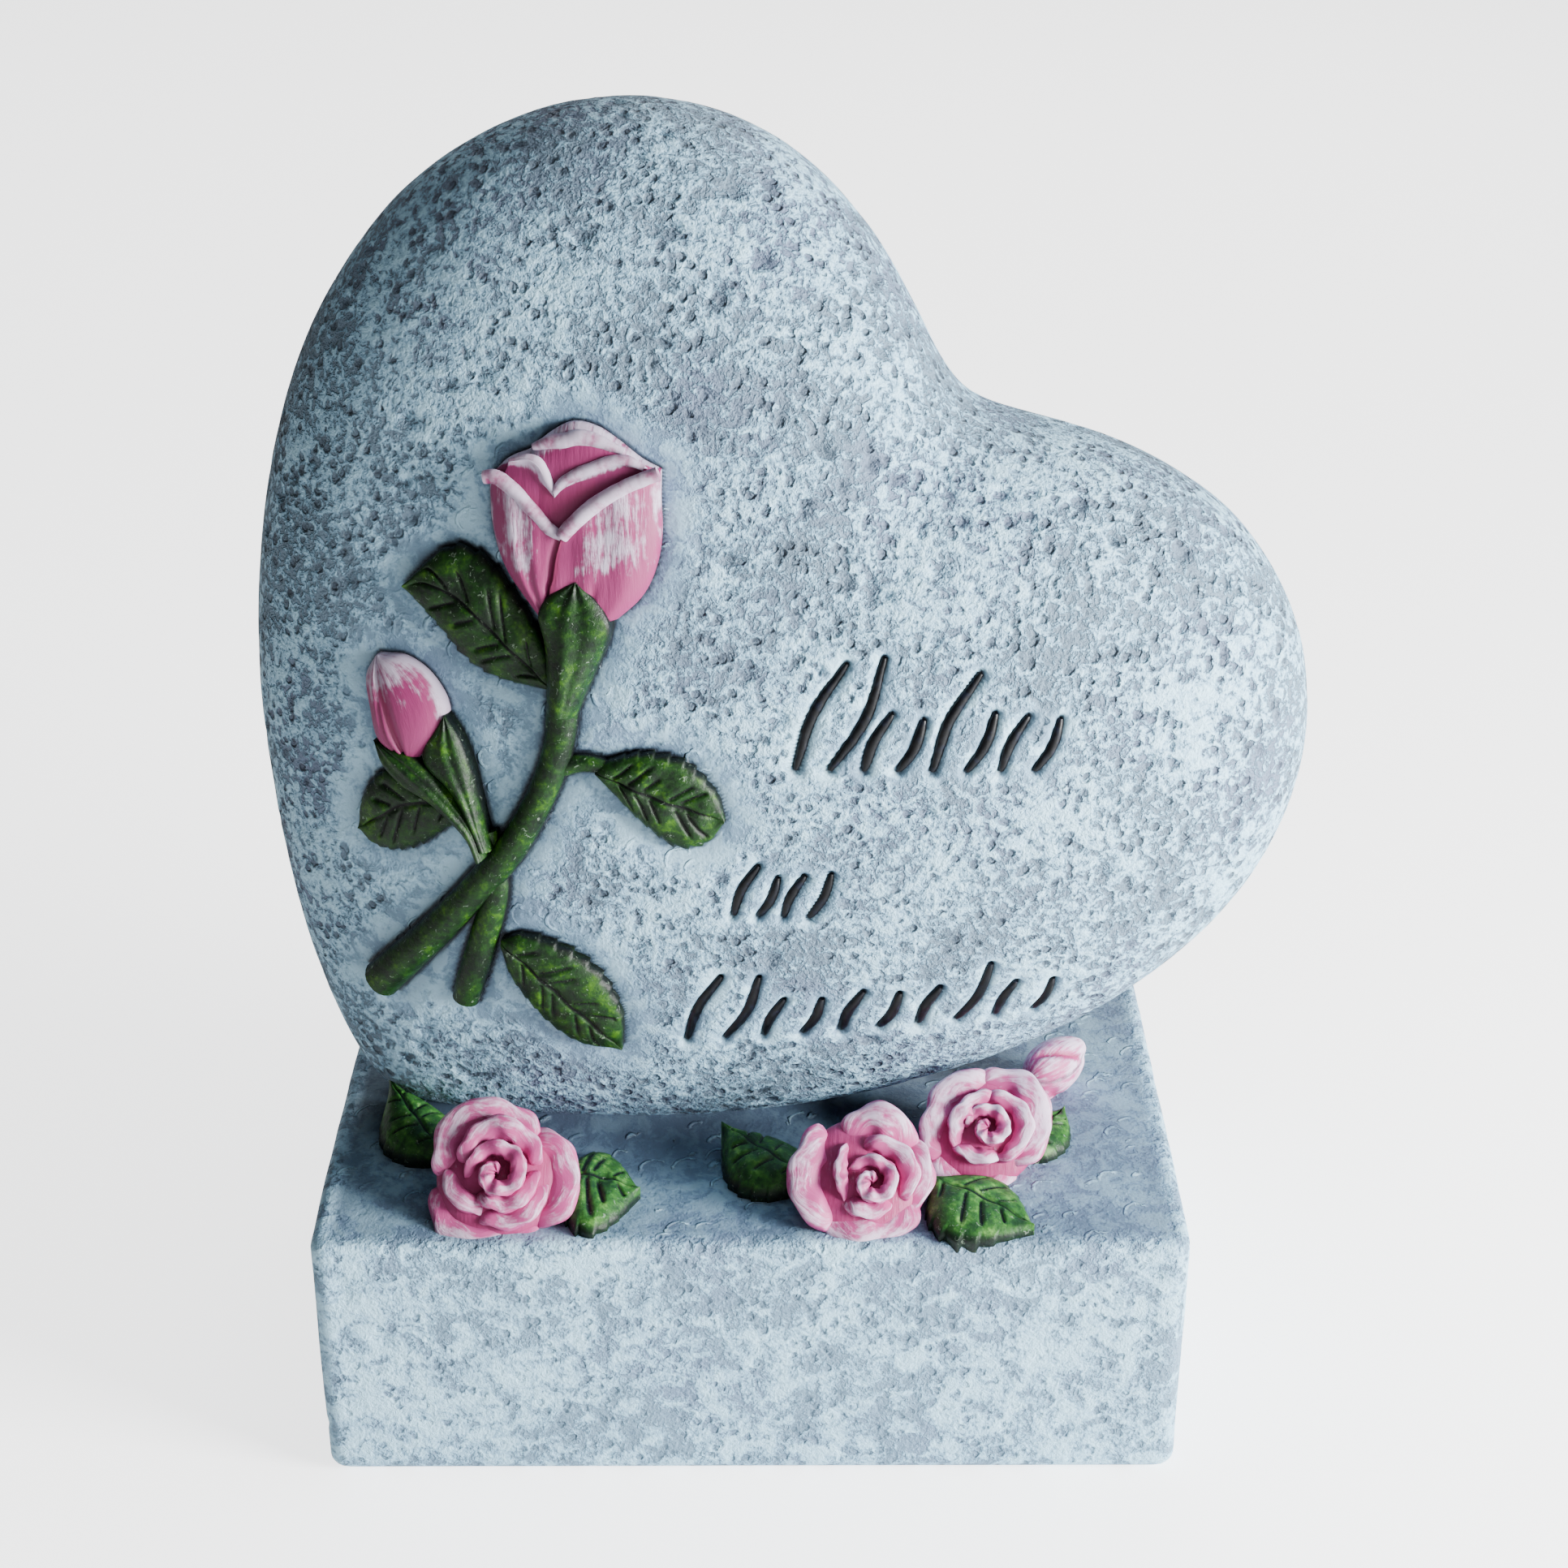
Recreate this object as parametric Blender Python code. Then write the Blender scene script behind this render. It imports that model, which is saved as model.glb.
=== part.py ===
"""Grave heart ornament, one painted casting.

A plump heart, turned to its left and leaning back a little, stands on an oblong plinth. A cut rose
with a second small bud lies in relief on its face beside three rows of shallow engraved strokes,
and full roses with leaves lie on the plinth at its foot.

Metres, +Z up, the front looks along -Y. The origin is the centre of the plinth's underside.
"""

import math

import bmesh
import bpy
import numpy as np

MM = 0.001

# Plinth
PLINTH_WIDTH = 130 * MM
PLINTH_DEPTH = 90 * MM
PLINTH_HEIGHT = 43.5 * MM
PLINTH_CORNER_RADIUS = 2.5 * MM
PLINTH_TOP_RADIUS = 1.5 * MM
PLINTH_FOOT_RADIUS = 3 * MM
CORNER_STEPS = 3

# Heart: its own size, and how it stands on the plinth
HEART_WIDTH = 163 * MM
HEART_THICKNESS = 62 * MM
HEART_TURN = math.radians(39)
HEART_LEAN = math.radians(9)
HEART_SIDE_SHIFT = 3 * MM
HEART_BACK_SHIFT = 5 * MM
HEART_SINK = 2.3 * MM
HEART_SPOKES = 60
HEART_RINGS = 8

# Heart outline, as shares of half its width, from the middle of the heart
TIP_DROP = 1.17
TIP_ROUNDING = 0.21
SIDE_RISE = 0.115
SIDE_PULL_DOWN = 0.635
SIDE_PULL_UP = 0.356
LOBE_OUT = 0.48
LOBE_RISE = 0.696
LOBE_PULL_OUT = 0.254
LOBE_PULL_IN = 0.24
CLEFT_RISE = 0.564
CLEFT_ROUNDING = 0.106

# Heart section: powers of the rounded edge, and how much thinner the tip is than the lobes
EDGE_POWER = 2.74
CROWN_POWER = 2.28
TIP_THINNING = 0.51

# Neck where the heart flows into the plinth
NECK_HALF_WIDTH = 27 * MM
NECK_HALF_DEPTH = 12 * MM
NECK_HEIGHT = 8 * MM
NECK_FLARE = 2.5 * MM
NECK_SIDE_SHIFT = 3 * MM
NECK_SPOKES = 28

# Relief on the face: how far each thing stands proud of it and reaches into it
RELIEF_ROOT = 1.5 * MM
BUD_RISE = 4.2 * MM
SMALL_BUD_RISE = 3.4 * MM
CALYX_RISE = 4.4 * MM
STEM_RISE = 2.4 * MM
LEAF_RISE = 2.2 * MM
STEM_WIDTH = 4.2 * MM
STALK_WIDTH = 2.6 * MM
PETAL_RIM_WIDTH = 1.9 * MM
PETAL_RIM_RISE = 1.1 * MM

# Engraved strokes
STROKE_WIDTH = 1.7 * MM
STROKE_DEPTH = 0.8 * MM
CUTTER_RISE = 1.2 * MM

# Roses at the foot
ROSE_RADIUS = 11 * MM
ROSE_TILT = math.radians(46)
ROSE_SETBACK = 9 * MM
ROSE_LIFT = 6 * MM
FOOT_LEAF_ROOT = 1.5 * MM
FOOT_BUD_RADIUS = 3.6 * MM


def paint(name, colour, roughness):
    """A painted finish."""
    material = bpy.data.materials.new(name)
    material.use_nodes = True
    shader = material.node_tree.nodes["Principled BSDF"]
    shader.inputs["Base Color"].default_value = (*colour, 1.0)
    shader.inputs["Roughness"].default_value = roughness
    shader.inputs["Metallic"].default_value = 0.0
    material.diffuse_color = (*colour, 1.0)
    return material


def solid(name, points, faces, collection, material):
    """A closed mesh object with its faces pointing out."""
    mesh = bpy.data.meshes.new(name)
    mesh.from_pydata([tuple(p) for p in points], [], faces)
    work = bmesh.new()
    work.from_mesh(mesh)
    bmesh.ops.remove_doubles(work, verts=work.verts, dist=0.00002)
    bmesh.ops.recalc_face_normals(work, faces=work.faces)
    if work.calc_volume(signed=True) < 0:
        bmesh.ops.reverse_faces(work, faces=work.faces)
    work.to_mesh(mesh)
    work.free()
    mesh.materials.append(material)
    shape = bpy.data.objects.new(name, mesh)
    collection.objects.link(shape)
    return shape


def bezier(start, pull, push, end, steps):
    """Points of a cubic curve, both ends included."""
    t = np.linspace(0, 1, steps + 1)[:, None]
    a, b, c, d = (np.array(p, float) for p in (start, pull, push, end))
    return (1 - t) ** 3 * a + 3 * t * (1 - t) ** 2 * b + 3 * t * t * (1 - t) * c + t**3 * d


def smooth_line(knots, count):
    """count points, evenly spaced, of a smooth curve through a few knots."""
    knots = np.array(knots, float)
    ends = np.vstack([2 * knots[0] - knots[1], knots, 2 * knots[-1] - knots[-2]])
    dense = []
    for a, b, c, d in zip(ends, ends[1:], ends[2:], ends[3:]):
        dense.append(bezier(b, b + (c - a) / 6, c - (d - b) / 6, c, 12)[:-1])
    dense = np.vstack([*dense, knots[-1:]])
    along = np.concatenate([[0], np.cumsum(np.linalg.norm(np.diff(dense, axis=0), axis=1))])
    at = np.linspace(0, along[-1], count)
    return np.stack([np.interp(at, along, dense[:, k]) for k in range(dense.shape[1])], axis=1)


def heart_outline():
    """The heart's closed outline, counter-clockwise from its tip, about the middle of the heart."""
    half = HEART_WIDTH / 2
    tip, side = (0, -TIP_DROP), (1, SIDE_RISE)
    lobe, cleft = (LOBE_OUT, LOBE_RISE), (0, CLEFT_RISE)
    arcs = [
        bezier(tip, (TIP_ROUNDING, -TIP_DROP), (1, SIDE_RISE - SIDE_PULL_DOWN), side, 40),
        bezier(side, (1, SIDE_RISE + SIDE_PULL_UP), (LOBE_OUT + LOBE_PULL_OUT, LOBE_RISE), lobe, 40),
        bezier(lobe, (LOBE_OUT - LOBE_PULL_IN, LOBE_RISE), (CLEFT_ROUNDING, CLEFT_RISE), cleft, 40),
    ]
    right = np.vstack([arcs[0], arcs[1][1:], arcs[2][1:]])
    left = right[-2:0:-1] * [-1, 1]
    return np.vstack([right, left]) * half


class Heart:
    """The heart's surface, and where it stands."""

    def __init__(self):
        outline = heart_outline()
        angles = np.arctan2(outline[:, 1], outline[:, 0])
        order = np.argsort(angles)
        radii = np.linalg.norm(outline, axis=1)[order]
        self.angles = np.concatenate([angles[order] + k * 2 * math.pi for k in (-1, 0, 1)])
        self.radii = np.tile(radii, 3)
        self.outline = outline
        turn, lean = HEART_TURN, HEART_LEAN
        self.right = np.array([1.0, 0.0, 0.0])
        self.up = np.array([0.0, math.sin(lean), math.cos(lean)])
        self.out = np.array([0.0, -math.cos(lean), math.sin(lean)])
        self.spin = np.array([[math.cos(turn), -math.sin(turn)], [math.sin(turn), math.cos(turn)]])
        self.centre = np.zeros(3)
        rest = self.body_points(HEART_SPOKES, HEART_RINGS)
        lowest = rest[rest[:, 2].argmin()]
        self.centre = np.array([HEART_SIDE_SHIFT, HEART_BACK_SHIFT, PLINTH_HEIGHT - HEART_SINK - lowest[2]])
        self.foot = self.centre + lowest

    def half_thickness(self, own):
        """Half the heart's thickness at points of its own upright frame, 0 at the outline."""
        own = np.asarray(own, float)
        angle = np.arctan2(own[..., 1], own[..., 0])
        share = np.linalg.norm(own, axis=-1) / np.interp(angle, self.angles, self.radii)
        edge = np.maximum(1 - np.minimum(share, 1) ** EDGE_POWER, 0) ** (1 / CROWN_POWER)
        half = HEART_WIDTH / 2
        below_top = (LOBE_RISE - own[..., 1] / half) / (LOBE_RISE + TIP_DROP)
        return HEART_THICKNESS / 2 * edge * (1 - TIP_THINNING * below_top**2)

    def height(self, face):
        """Height of the front at points of the face: x to the right and y up the slope."""
        return self.half_thickness(np.asarray(face, float) @ self.spin.T)

    def on_face(self, face, lift):
        """Points that stand lift proud of the face, square to it."""
        face = np.asarray(face, float)
        step = 0.5 * MM
        rise = [
            (self.height(face + move) - self.height(face - move)) / (2 * step)
            for move in (np.array([step, 0]), np.array([0, step]))
        ]
        normal = np.stack([-rise[0], -rise[1], np.ones_like(rise[0])], axis=-1)
        normal /= np.linalg.norm(normal, axis=-1, keepdims=True)
        local = np.concatenate([face, self.height(face)[..., None]], axis=-1)
        local = local + normal * np.asarray(lift)[..., None]
        return self.centre + local @ np.stack([self.right, self.up, self.out])

    def body_points(self, spokes, rings):
        """Points of the whole heart: front middle, front rings, outline, back rings, back middle."""
        closed = np.vstack([self.outline, self.outline[:1]])
        around = smooth_line(closed, spokes + 1)[:-1]
        shares = np.sin(np.linspace(0, math.pi / 2, rings + 1))[1:]
        rows = []
        for side, some in ((1, shares), (-1, shares[-2::-1])):
            for share in some:
                own = around * share
                depth = side * self.half_thickness(own) if share < 1 else np.zeros(spokes)
                rows.append(np.column_stack([own @ self.spin, depth]))
        crown = self.half_thickness(np.zeros(2))
        points = np.vstack([[[0, 0, crown]], *rows, [[0, 0, -crown]]])
        return self.centre + points @ np.stack([self.right, self.up, self.out])

    def body(self, collection, material):
        """The heart itself."""
        points = self.body_points(HEART_SPOKES, HEART_RINGS)
        rows = 2 * HEART_RINGS - 1
        ring = [list(range(1 + r * HEART_SPOKES, 1 + (r + 1) * HEART_SPOKES)) for r in range(rows)]
        last = len(points) - 1
        faces = [(0, a, b) for a, b in pairs(ring[0])]
        for inner, outer in zip(ring, ring[1:]):
            faces += [(a, c, d, b) for (a, b), (c, d) in zip(pairs(inner), pairs(outer))]
        faces += [(a, last, b) for a, b in pairs(ring[-1])]
        return solid("heart_body", points, faces, collection, material)


def pairs(loop):
    """Each item of a closed loop with the next."""
    return list(zip(loop, loop[1:] + loop[:1]))


def loft(name, rings, collection, material):
    """A closed solid through rings of equally many points, flat at both ends."""
    count = len(rings[0])
    points = np.vstack(rings)
    faces = [tuple(range(count)), tuple(range((len(rings) - 1) * count, len(rings) * count))]
    for r in range(len(rings) - 1):
        for a, b in pairs(list(range(count))):
            faces.append((r * count + a, r * count + b, (r + 1) * count + b, (r + 1) * count + a))
    return solid(name, points, faces, collection, material)


def rounded_oblong(half_width, half_depth, radius, z):
    """One ring of the plinth."""
    ring = []
    for quarter, (sx, sy) in enumerate(((1, 1), (-1, 1), (-1, -1), (1, -1))):
        for step in range(CORNER_STEPS + 1):
            angle = (quarter + step / CORNER_STEPS) * math.pi / 2
            ring.append(
                (
                    sx * (half_width - radius) + radius * math.cos(angle),
                    sy * (half_depth - radius) + radius * math.sin(angle),
                    z,
                )
            )
    return np.array(ring)


def plinth(collection, material):
    """The oblong plinth, well rounded below and lightly above."""
    rings = []
    for step in range(CORNER_STEPS + 1):
        angle = step / CORNER_STEPS * math.pi / 2
        rings.append(
            (
                PLINTH_FOOT_RADIUS * (1 - math.sin(angle)),
                PLINTH_FOOT_RADIUS * (1 - math.cos(angle)),
            )
        )
    for step in range(CORNER_STEPS):
        angle = step / (CORNER_STEPS - 1) * math.pi / 2
        rings.append(
            (
                PLINTH_TOP_RADIUS * (1 - math.cos(angle)),
                PLINTH_HEIGHT - PLINTH_TOP_RADIUS * (1 - math.sin(angle)),
            )
        )
    made = [
        rounded_oblong(
            PLINTH_WIDTH / 2 - inset,
            PLINTH_DEPTH / 2 - inset,
            max(PLINTH_CORNER_RADIUS - inset / 2, 0.5 * MM),
            z,
        )
        for inset, z in rings
    ]
    return loft("plinth_body", made, collection, material)


def neck(heart, collection, material):
    """The flared neck that the heart grows out of."""
    profile = ((-0.25, 1.0), (0.0, 1.0), (0.2, 0.35), (0.55, 0.0), (1.0, -1.0))
    middle = heart.foot + np.array([NECK_SIDE_SHIFT, 0, 0])
    around = np.linspace(0, 2 * math.pi, NECK_SPOKES, endpoint=False)
    rings = []
    for rise, spread in profile:
        x = middle[0] + (NECK_HALF_WIDTH + NECK_FLARE * spread) * np.cos(around)
        y = middle[1] + (NECK_HALF_DEPTH + NECK_FLARE * spread) * np.sin(around)
        z = np.full(NECK_SPOKES, PLINTH_HEIGHT + NECK_HEIGHT * rise)
        rings.append(np.column_stack([x, y, z]))
    return loft("neck", rings, collection, material)


def slab(name, top, bottom, collection, material):
    """A closed solid between two grids of points."""
    rows, columns = top.shape[:2]
    points = np.vstack([top.reshape(-1, 3), bottom.reshape(-1, 3)])
    under = rows * columns
    at = lambda r, c: r * columns + c
    faces = []
    for r in range(rows - 1):
        for c in range(columns - 1):
            quad = (at(r, c), at(r + 1, c), at(r + 1, c + 1), at(r, c + 1))
            faces.append(quad)
            faces.append(tuple(under + k for k in reversed(quad)))
    rim = [at(0, c) for c in range(columns)]
    rim += [at(r, columns - 1) for r in range(1, rows)]
    rim += [at(rows - 1, c) for c in range(columns - 2, -1, -1)]
    rim += [at(r, 0) for r in range(rows - 2, 0, -1)]
    faces += [(a, b, under + b, under + a) for a, b in pairs(rim)]
    return solid(name, points, faces, collection, material)


def ribbon(line, half_widths, across):
    """A grid of places: along a line, and across it from -half_width to half_width."""
    line = np.asarray(line, float)
    heading = np.gradient(line, axis=0)
    heading /= np.linalg.norm(heading, axis=1, keepdims=True)
    side = np.column_stack([heading[:, 1], -heading[:, 0]])
    reach = np.asarray(half_widths)[:, None, None] * np.asarray(across)[None, :, None]
    return line[:, None, :] + side[:, None, :] * reach


def coons(bottom, top, left, right):
    """A grid of places inside four edge lines: bottom and top run left to right."""
    rows, columns = len(left), len(bottom)
    v = np.linspace(0, 1, rows)[:, None, None]
    u = np.linspace(0, 1, columns)[None, :, None]
    ruled = (1 - v) * bottom[None] + v * top[None] + (1 - u) * left[:, None] + u * right[:, None]
    corners = (1 - u) * (1 - v) * bottom[0] + u * (1 - v) * bottom[-1]
    corners = corners + (1 - u) * v * top[0] + u * v * top[-1]
    return ruled - corners


# Relief rose, in millimetres on the face: x to the right and y up the slope from the heart's middle
STEM_LINE = ((-27.3, 1.5), (-31.3, -13.7), (-38.6, -26.6), (-50.4, -41.4), (-58.8, -51.2))
SIDE_STEM_LINE = ((-41.2, -25), (-39.3, -33), (-41.5, -42), (-45.5, -52.2))
STALK_LINE = ((-29.5, -13.6), (-26.5, -12.5), (-22.5, -13))
FACE_LEAVES = (
    # base, tip, width, sideways bow
    ((-31.0, -1.4), (-49.8, 13.6), 14.4, 3.2),
    ((-39.6, -42.6), (-23.2, -59.2), 11.4, 0.3),
    ((-24.2, -12.8), (-6.8, -18.6), 12.6, 1.2),
    ((-44.6, -21.6), (-59.6, -22.8), 12.6, 1.2),
)
SEPALS = (
    # line from the stem outward, widths along it
    (((-28.0, -2.0), (-27.0, 6.5), (-26.0, 15.4)), (3.6, 5.6, 8.8, 8.6, 5.6, 1.2)),
    (((-41.2, -27.0), (-43.2, -16.5), (-46.0, -6.8)), (3.0, 4.4, 6.2, 6.4, 4.6, 1.4)),
    (((-42.0, -26.0), (-47.8, -16.6), (-55.0, -11.0)), (2.6, 4.0, 5.0, 5.0, 3.8, 1.4)),
)
SMALL_BUD = (((-49.6, -13.2), (-51.2, -5.0), (-54.2, 1.9)), (5.6, 8.2, 10.0, 10.0, 8.0, 3.4))

SEAM = ((-27.4, 8.6), (-26.7, 14.5), (-27.4, 21.6))
LEFT_SIDE = ((-31.9, 8.4), (-36.2, 14.3), (-37.9, 20.8), (-37.8, 26.2), (-38.4, 29.2))
RIGHT_SIDE = ((-20.0, 9.4), (-15.9, 14.6), (-14.4, 21.2), (-14.8, 27.0), (-14.4, 30.2))
INNER_FOOT = (-27.4, 20.0)
LEFT_LIP = ((-38.4, 29.2), (-33.6, 26.4), (-27.4, 21.6))
RIGHT_LIP = ((-27.4, 21.6), (-22.6, 26.0), (-14.4, 30.2))
LEFT_RIM = ((-38.9, 29.7), (-33.7, 26.3), (-28.6, 22.4))
RIGHT_RIM = ((-27.0, 20.7), (-22.5, 25.7), (-13.8, 30.5))
BUD_TOP = ((-37.2, 29.6), (-33.0, 32.7), (-26.9, 36.2), (-20.0, 33.2), (-15.6, 30.4))
INNER_RIMS = (
    ((-35.0, 30.4), (-31.0, 29.2), (-28.4, 26.0)),
    ((-27.1, 23.9), (-23.8, 28.6), (-17.6, 31.1)),
    ((-31.4, 32.5), (-26.8, 33.1), (-22.2, 31.9)),
)

# Rows of strokes: first place, last place, lengths one after the other
STROKE_ROWS = (
    ((3.6, -13.2), (37.6, -13.4), (17.5, 18.5, 9.5, 8.5, 16.0, 9.5, 9.0, 8.5)),
    ((-5.4, -36.8), (5.6, -37.0), (9.0, 7.0, 7.5, 8.0)),
    ((-12.6, -59.6), (39.6, -55.2), (13.0, 12.5, 7.5, 7.0, 8.0, 7.0, 7.5, 11.5, 7.0, 6.5)),
)
STROKE_SLANT = math.radians(24)
STROKE_BOW = 0.07

# Roses at the foot: side place, place from the plinth's middle, size share, spin in degrees
FOOT_ROSES = (
    ("left", -37.3, -35.6, 1.0, 20),
    ("middle", 17.0, -36.2, 0.98, 150),
    ("right", 35.2, -23.8, 0.93, 75),
)
# Rings of petals from the outside in, as shares of the rose's radius
PETAL_RINGS = (
    # petals, rim radius, rim height, crest radius, crest height, furrow radius, furrow height
    (5, 1.00, -0.16, 0.90, 0.12, 0.70, 0.10),
    (4, 0.69, 0.24, 0.60, 0.38, 0.47, 0.24),
    (3, 0.45, 0.38, 0.37, 0.50, 0.26, 0.32),
    (2, 0.23, 0.44, 0.15, 0.55, 0.06, 0.42),
)
PETAL_NOTCH = 0.17
PETAL_DIP = 0.10
ROSE_SPOKES = 30
# Leaves at the foot: base and tip with their heights over the plinth, and width
FOOT_LEAVES = (
    ((-47.5, -25.5, 3.4), (-57.0, -9.5, 5.6), 11.5),
    ((-29.0, -32.6, 3.6), (-16.6, -33.2, 1.6), 20.0),
    ((7.6, -32.5, 3.6), (-4.6, -21.0, 5.0), 13.0),
    ((26.6, -33.4, 3.6), (41.8, -42.2, 1.4), 16.0),
    ((42.5, -24.0, 2.2), (49.2, -11.5, 2.8), 8.0),
)
FOOT_BUD = ((44.2, -9.6, 5.6), (53.0, -1.2, 6.4))


def face_slab(name, heart, places, lifts, root, collection, material):
    """A solid on the face whose top stands lifts proud of it and whose underside is root deep."""
    top = heart.on_face(places, lifts)
    bottom = heart.on_face(places, np.full(places.shape[:2], -root))
    return slab(name, top, bottom, collection, material)


def leaf_half_widths(width, count):
    """Half widths of a leaf from its base to its point."""
    t = np.linspace(0, 1, count)
    return width / 2 * np.maximum((np.sin(math.pi * t**0.8)) ** 0.75, 0.12)


def bowed_line(base, tip, bow, count):
    """A gently bowed line between two places."""
    base, tip = np.array(base, float), np.array(tip, float)
    along = tip - base
    side = np.array([along[1], -along[0]]) / np.linalg.norm(along)
    return smooth_line([base, (base + tip) / 2 + side * bow, tip], count)


def sprig(heart, collection, green):
    """Stems, leaves and sepals on the face."""
    across = np.array([-1.0, -0.6, 0.0, 0.6, 1.0])
    round_over = np.array([0.25, 0.85, 1.0, 0.85, 0.25])
    runs = (
        ("stem", STEM_LINE, STEM_WIDTH, STEM_RISE, 14, (1.0, 0.94, 0.92, 0.96, 1.1, 1.16)),
        ("side_stem", SIDE_STEM_LINE, STEM_WIDTH * 0.92, STEM_RISE * 0.75, 9, (0.8, 0.9, 0.95, 1.1)),
        ("stalk", STALK_LINE, STALK_WIDTH, STEM_RISE * 0.6, 5, (1.0, 1.0)),
    )
    for name, knots, width, rise, count, shares in runs:
        line = smooth_line(knots, count) * MM
        shares = np.interp(np.linspace(0, 1, count), np.linspace(0, 1, len(shares)), shares)
        places = ribbon(line, width / 2 * shares, across)
        lifts = np.broadcast_to(rise * round_over, places.shape[:2])
        face_slab(name, heart, places, lifts, RELIEF_ROOT, collection, green)
    blade = np.array([0.4, 1.0, 0.6, 1.0, 0.4])
    for k, (base, tip, width, bow) in enumerate(FACE_LEAVES):
        line = bowed_line(base, tip, bow, 9) * MM
        places = ribbon(line, leaf_half_widths(width * MM, 9), across)
        fade = np.array([0.7, 0.95, 1.0, 1.0, 1.0, 0.95, 0.9, 0.8, 0.6])[:, None]
        lifts = LEAF_RISE * blade * fade
        face_slab(f"face_leaf_{k + 1}", heart, places, lifts, RELIEF_ROOT, collection, green)
    for k, (knots, widths) in enumerate(SEPALS):
        rise = CALYX_RISE if k == 0 else SMALL_BUD_RISE
        line = smooth_line(knots, 9) * MM
        widths = np.interp(np.linspace(0, 1, 9), np.linspace(0, 1, len(widths)), widths) * MM
        places = ribbon(line, widths / 2, across)
        swell = np.linspace(STEM_RISE / rise, 1, 9)[:, None]
        lifts = rise * round_over * np.minimum(swell * 1.1, 1.0)
        face_slab(f"sepal_{k + 1}", heart, places, lifts, RELIEF_ROOT, collection, green)


def petal_places(bottom, top, left, right, rows, columns):
    """Places of one petal on the face, from the knots of its four edges."""
    edges = [smooth_line(knots, count) * MM for knots, count in ((bottom, columns), (top, columns))]
    edges += [smooth_line(knots, rows) * MM for knots in (left, right)]
    return coons(*edges)


def face_bud(heart, collection, pink):
    """The large bud: inner petals, two outer petals wrapped over them, and rolled rims."""
    rows, columns = 7, 7
    left = petal_places((LEFT_SIDE[0], SEAM[0]), LEFT_LIP, LEFT_SIDE, SEAM, rows, columns)
    right = petal_places((SEAM[0], RIGHT_SIDE[0]), RIGHT_LIP, SEAM, RIGHT_SIDE, rows, columns)
    inner_base = (BUD_TOP[0], INNER_FOOT, BUD_TOP[-1])
    belly = np.array([0.62, 0.8, 0.92, 1.0, 1.0, 0.98, 0.96])[:, None]
    from_left = np.array([0.3, 0.68, 0.88, 0.97, 1.0, 1.0, 0.97])
    petals = (
        ("left_petal", left, 0.94 * belly * from_left),
        ("right_petal", right, belly * from_left[::-1]),
    )
    for name, places, shares in petals:
        face_slab(name, heart, places, BUD_RISE * shares, RELIEF_ROOT, collection, pink)
    crown = smooth_line(BUD_TOP, 13) * MM
    sill = smooth_line(inner_base, 13) * MM
    shares = np.linspace(0, 1, 5)[:, None, None]
    places = (1 - shares) * sill[None] + shares * crown[None]
    fade = np.array([1.0, 1.0, 0.95, 0.8, 0.35])[:, None]
    side = np.minimum(1.0, 0.45 + np.minimum(np.arange(13), np.arange(12, -1, -1)) * 0.22)
    lifts = BUD_RISE * 0.78 * fade * side
    face_slab("inner_petals", heart, places[:, 1:-1], lifts[:, 1:-1], RELIEF_ROOT, collection, pink)
    across = np.array([-1.0, 0.0, 1.0])
    rims = [("left_rim", LEFT_RIM, BUD_RISE), ("right_rim", RIGHT_RIM, BUD_RISE * 1.04)]
    rims += [(f"inner_rim_{k + 1}", knots, BUD_RISE * 0.74) for k, knots in enumerate(INNER_RIMS)]
    for name, knots, rise in rims:
        line = smooth_line(knots, 7) * MM
        taper = np.array([0.5, 0.8, 1.0, 1.0, 1.0, 0.9, 0.6])
        places = ribbon(line, PETAL_RIM_WIDTH / 2 * taper, across)
        lifts = np.broadcast_to(rise + PETAL_RIM_RISE * np.array([0.2, 1.0, 0.2]), places.shape[:2])
        lifts = lifts * np.array([0.55, 0.85, 1.0, 1.0, 1.0, 0.95, 0.85])[:, None]
        face_slab(name, heart, places, lifts, RELIEF_ROOT / 2, collection, pink)


def small_face_bud(heart, collection, pink):
    """The small bud."""
    knots, widths = SMALL_BUD
    line = smooth_line(knots, 9) * MM
    widths = np.interp(np.linspace(0, 1, 9), np.linspace(0, 1, len(widths)), widths) * MM
    places = ribbon(line, widths / 2, np.array([-1.0, -0.7, -0.25, 0.25, 0.7, 1.0]))
    fade = np.array([0.8, 0.9, 1.0, 1.0, 1.0, 0.95, 0.85, 0.7, 0.4])[:, None]
    lifts = SMALL_BUD_RISE * fade * np.array([0.3, 0.8, 1.0, 1.0, 0.8, 0.3])
    face_slab("small_bud", heart, places, lifts, RELIEF_ROOT, collection, pink)


def strokes(heart, collection, black):
    """Cutters for the rows of slanted strokes."""
    across = np.array([-1.0, 0.0, 1.0])
    for row, (first, last, lengths) in enumerate(STROKE_ROWS):
        feet = np.linspace(first, last, len(lengths))
        for k, (foot, length) in enumerate(zip(feet, lengths)):
            along = np.array([math.sin(STROKE_SLANT), math.cos(STROKE_SLANT)]) * length
            side = np.array([along[1], -along[0]]) * STROKE_BOW * (1 if k % 2 else -1)
            line = smooth_line([foot, foot + along / 2 + side, foot + along], 5) * MM
            places = ribbon(line, STROKE_WIDTH / 2 * np.array([0.6, 1.0, 1.0, 0.9, 0.5]), across)
            top = heart.on_face(places, np.full(places.shape[:2], CUTTER_RISE))
            sunk = -STROKE_DEPTH * np.array([0.7, 1.0, 0.7])
            bottom = heart.on_face(places, np.broadcast_to(sunk, places.shape[:2]))
            slab(f"stroke_{row + 1}_{k + 1}", top, bottom, collection, black)


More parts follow.
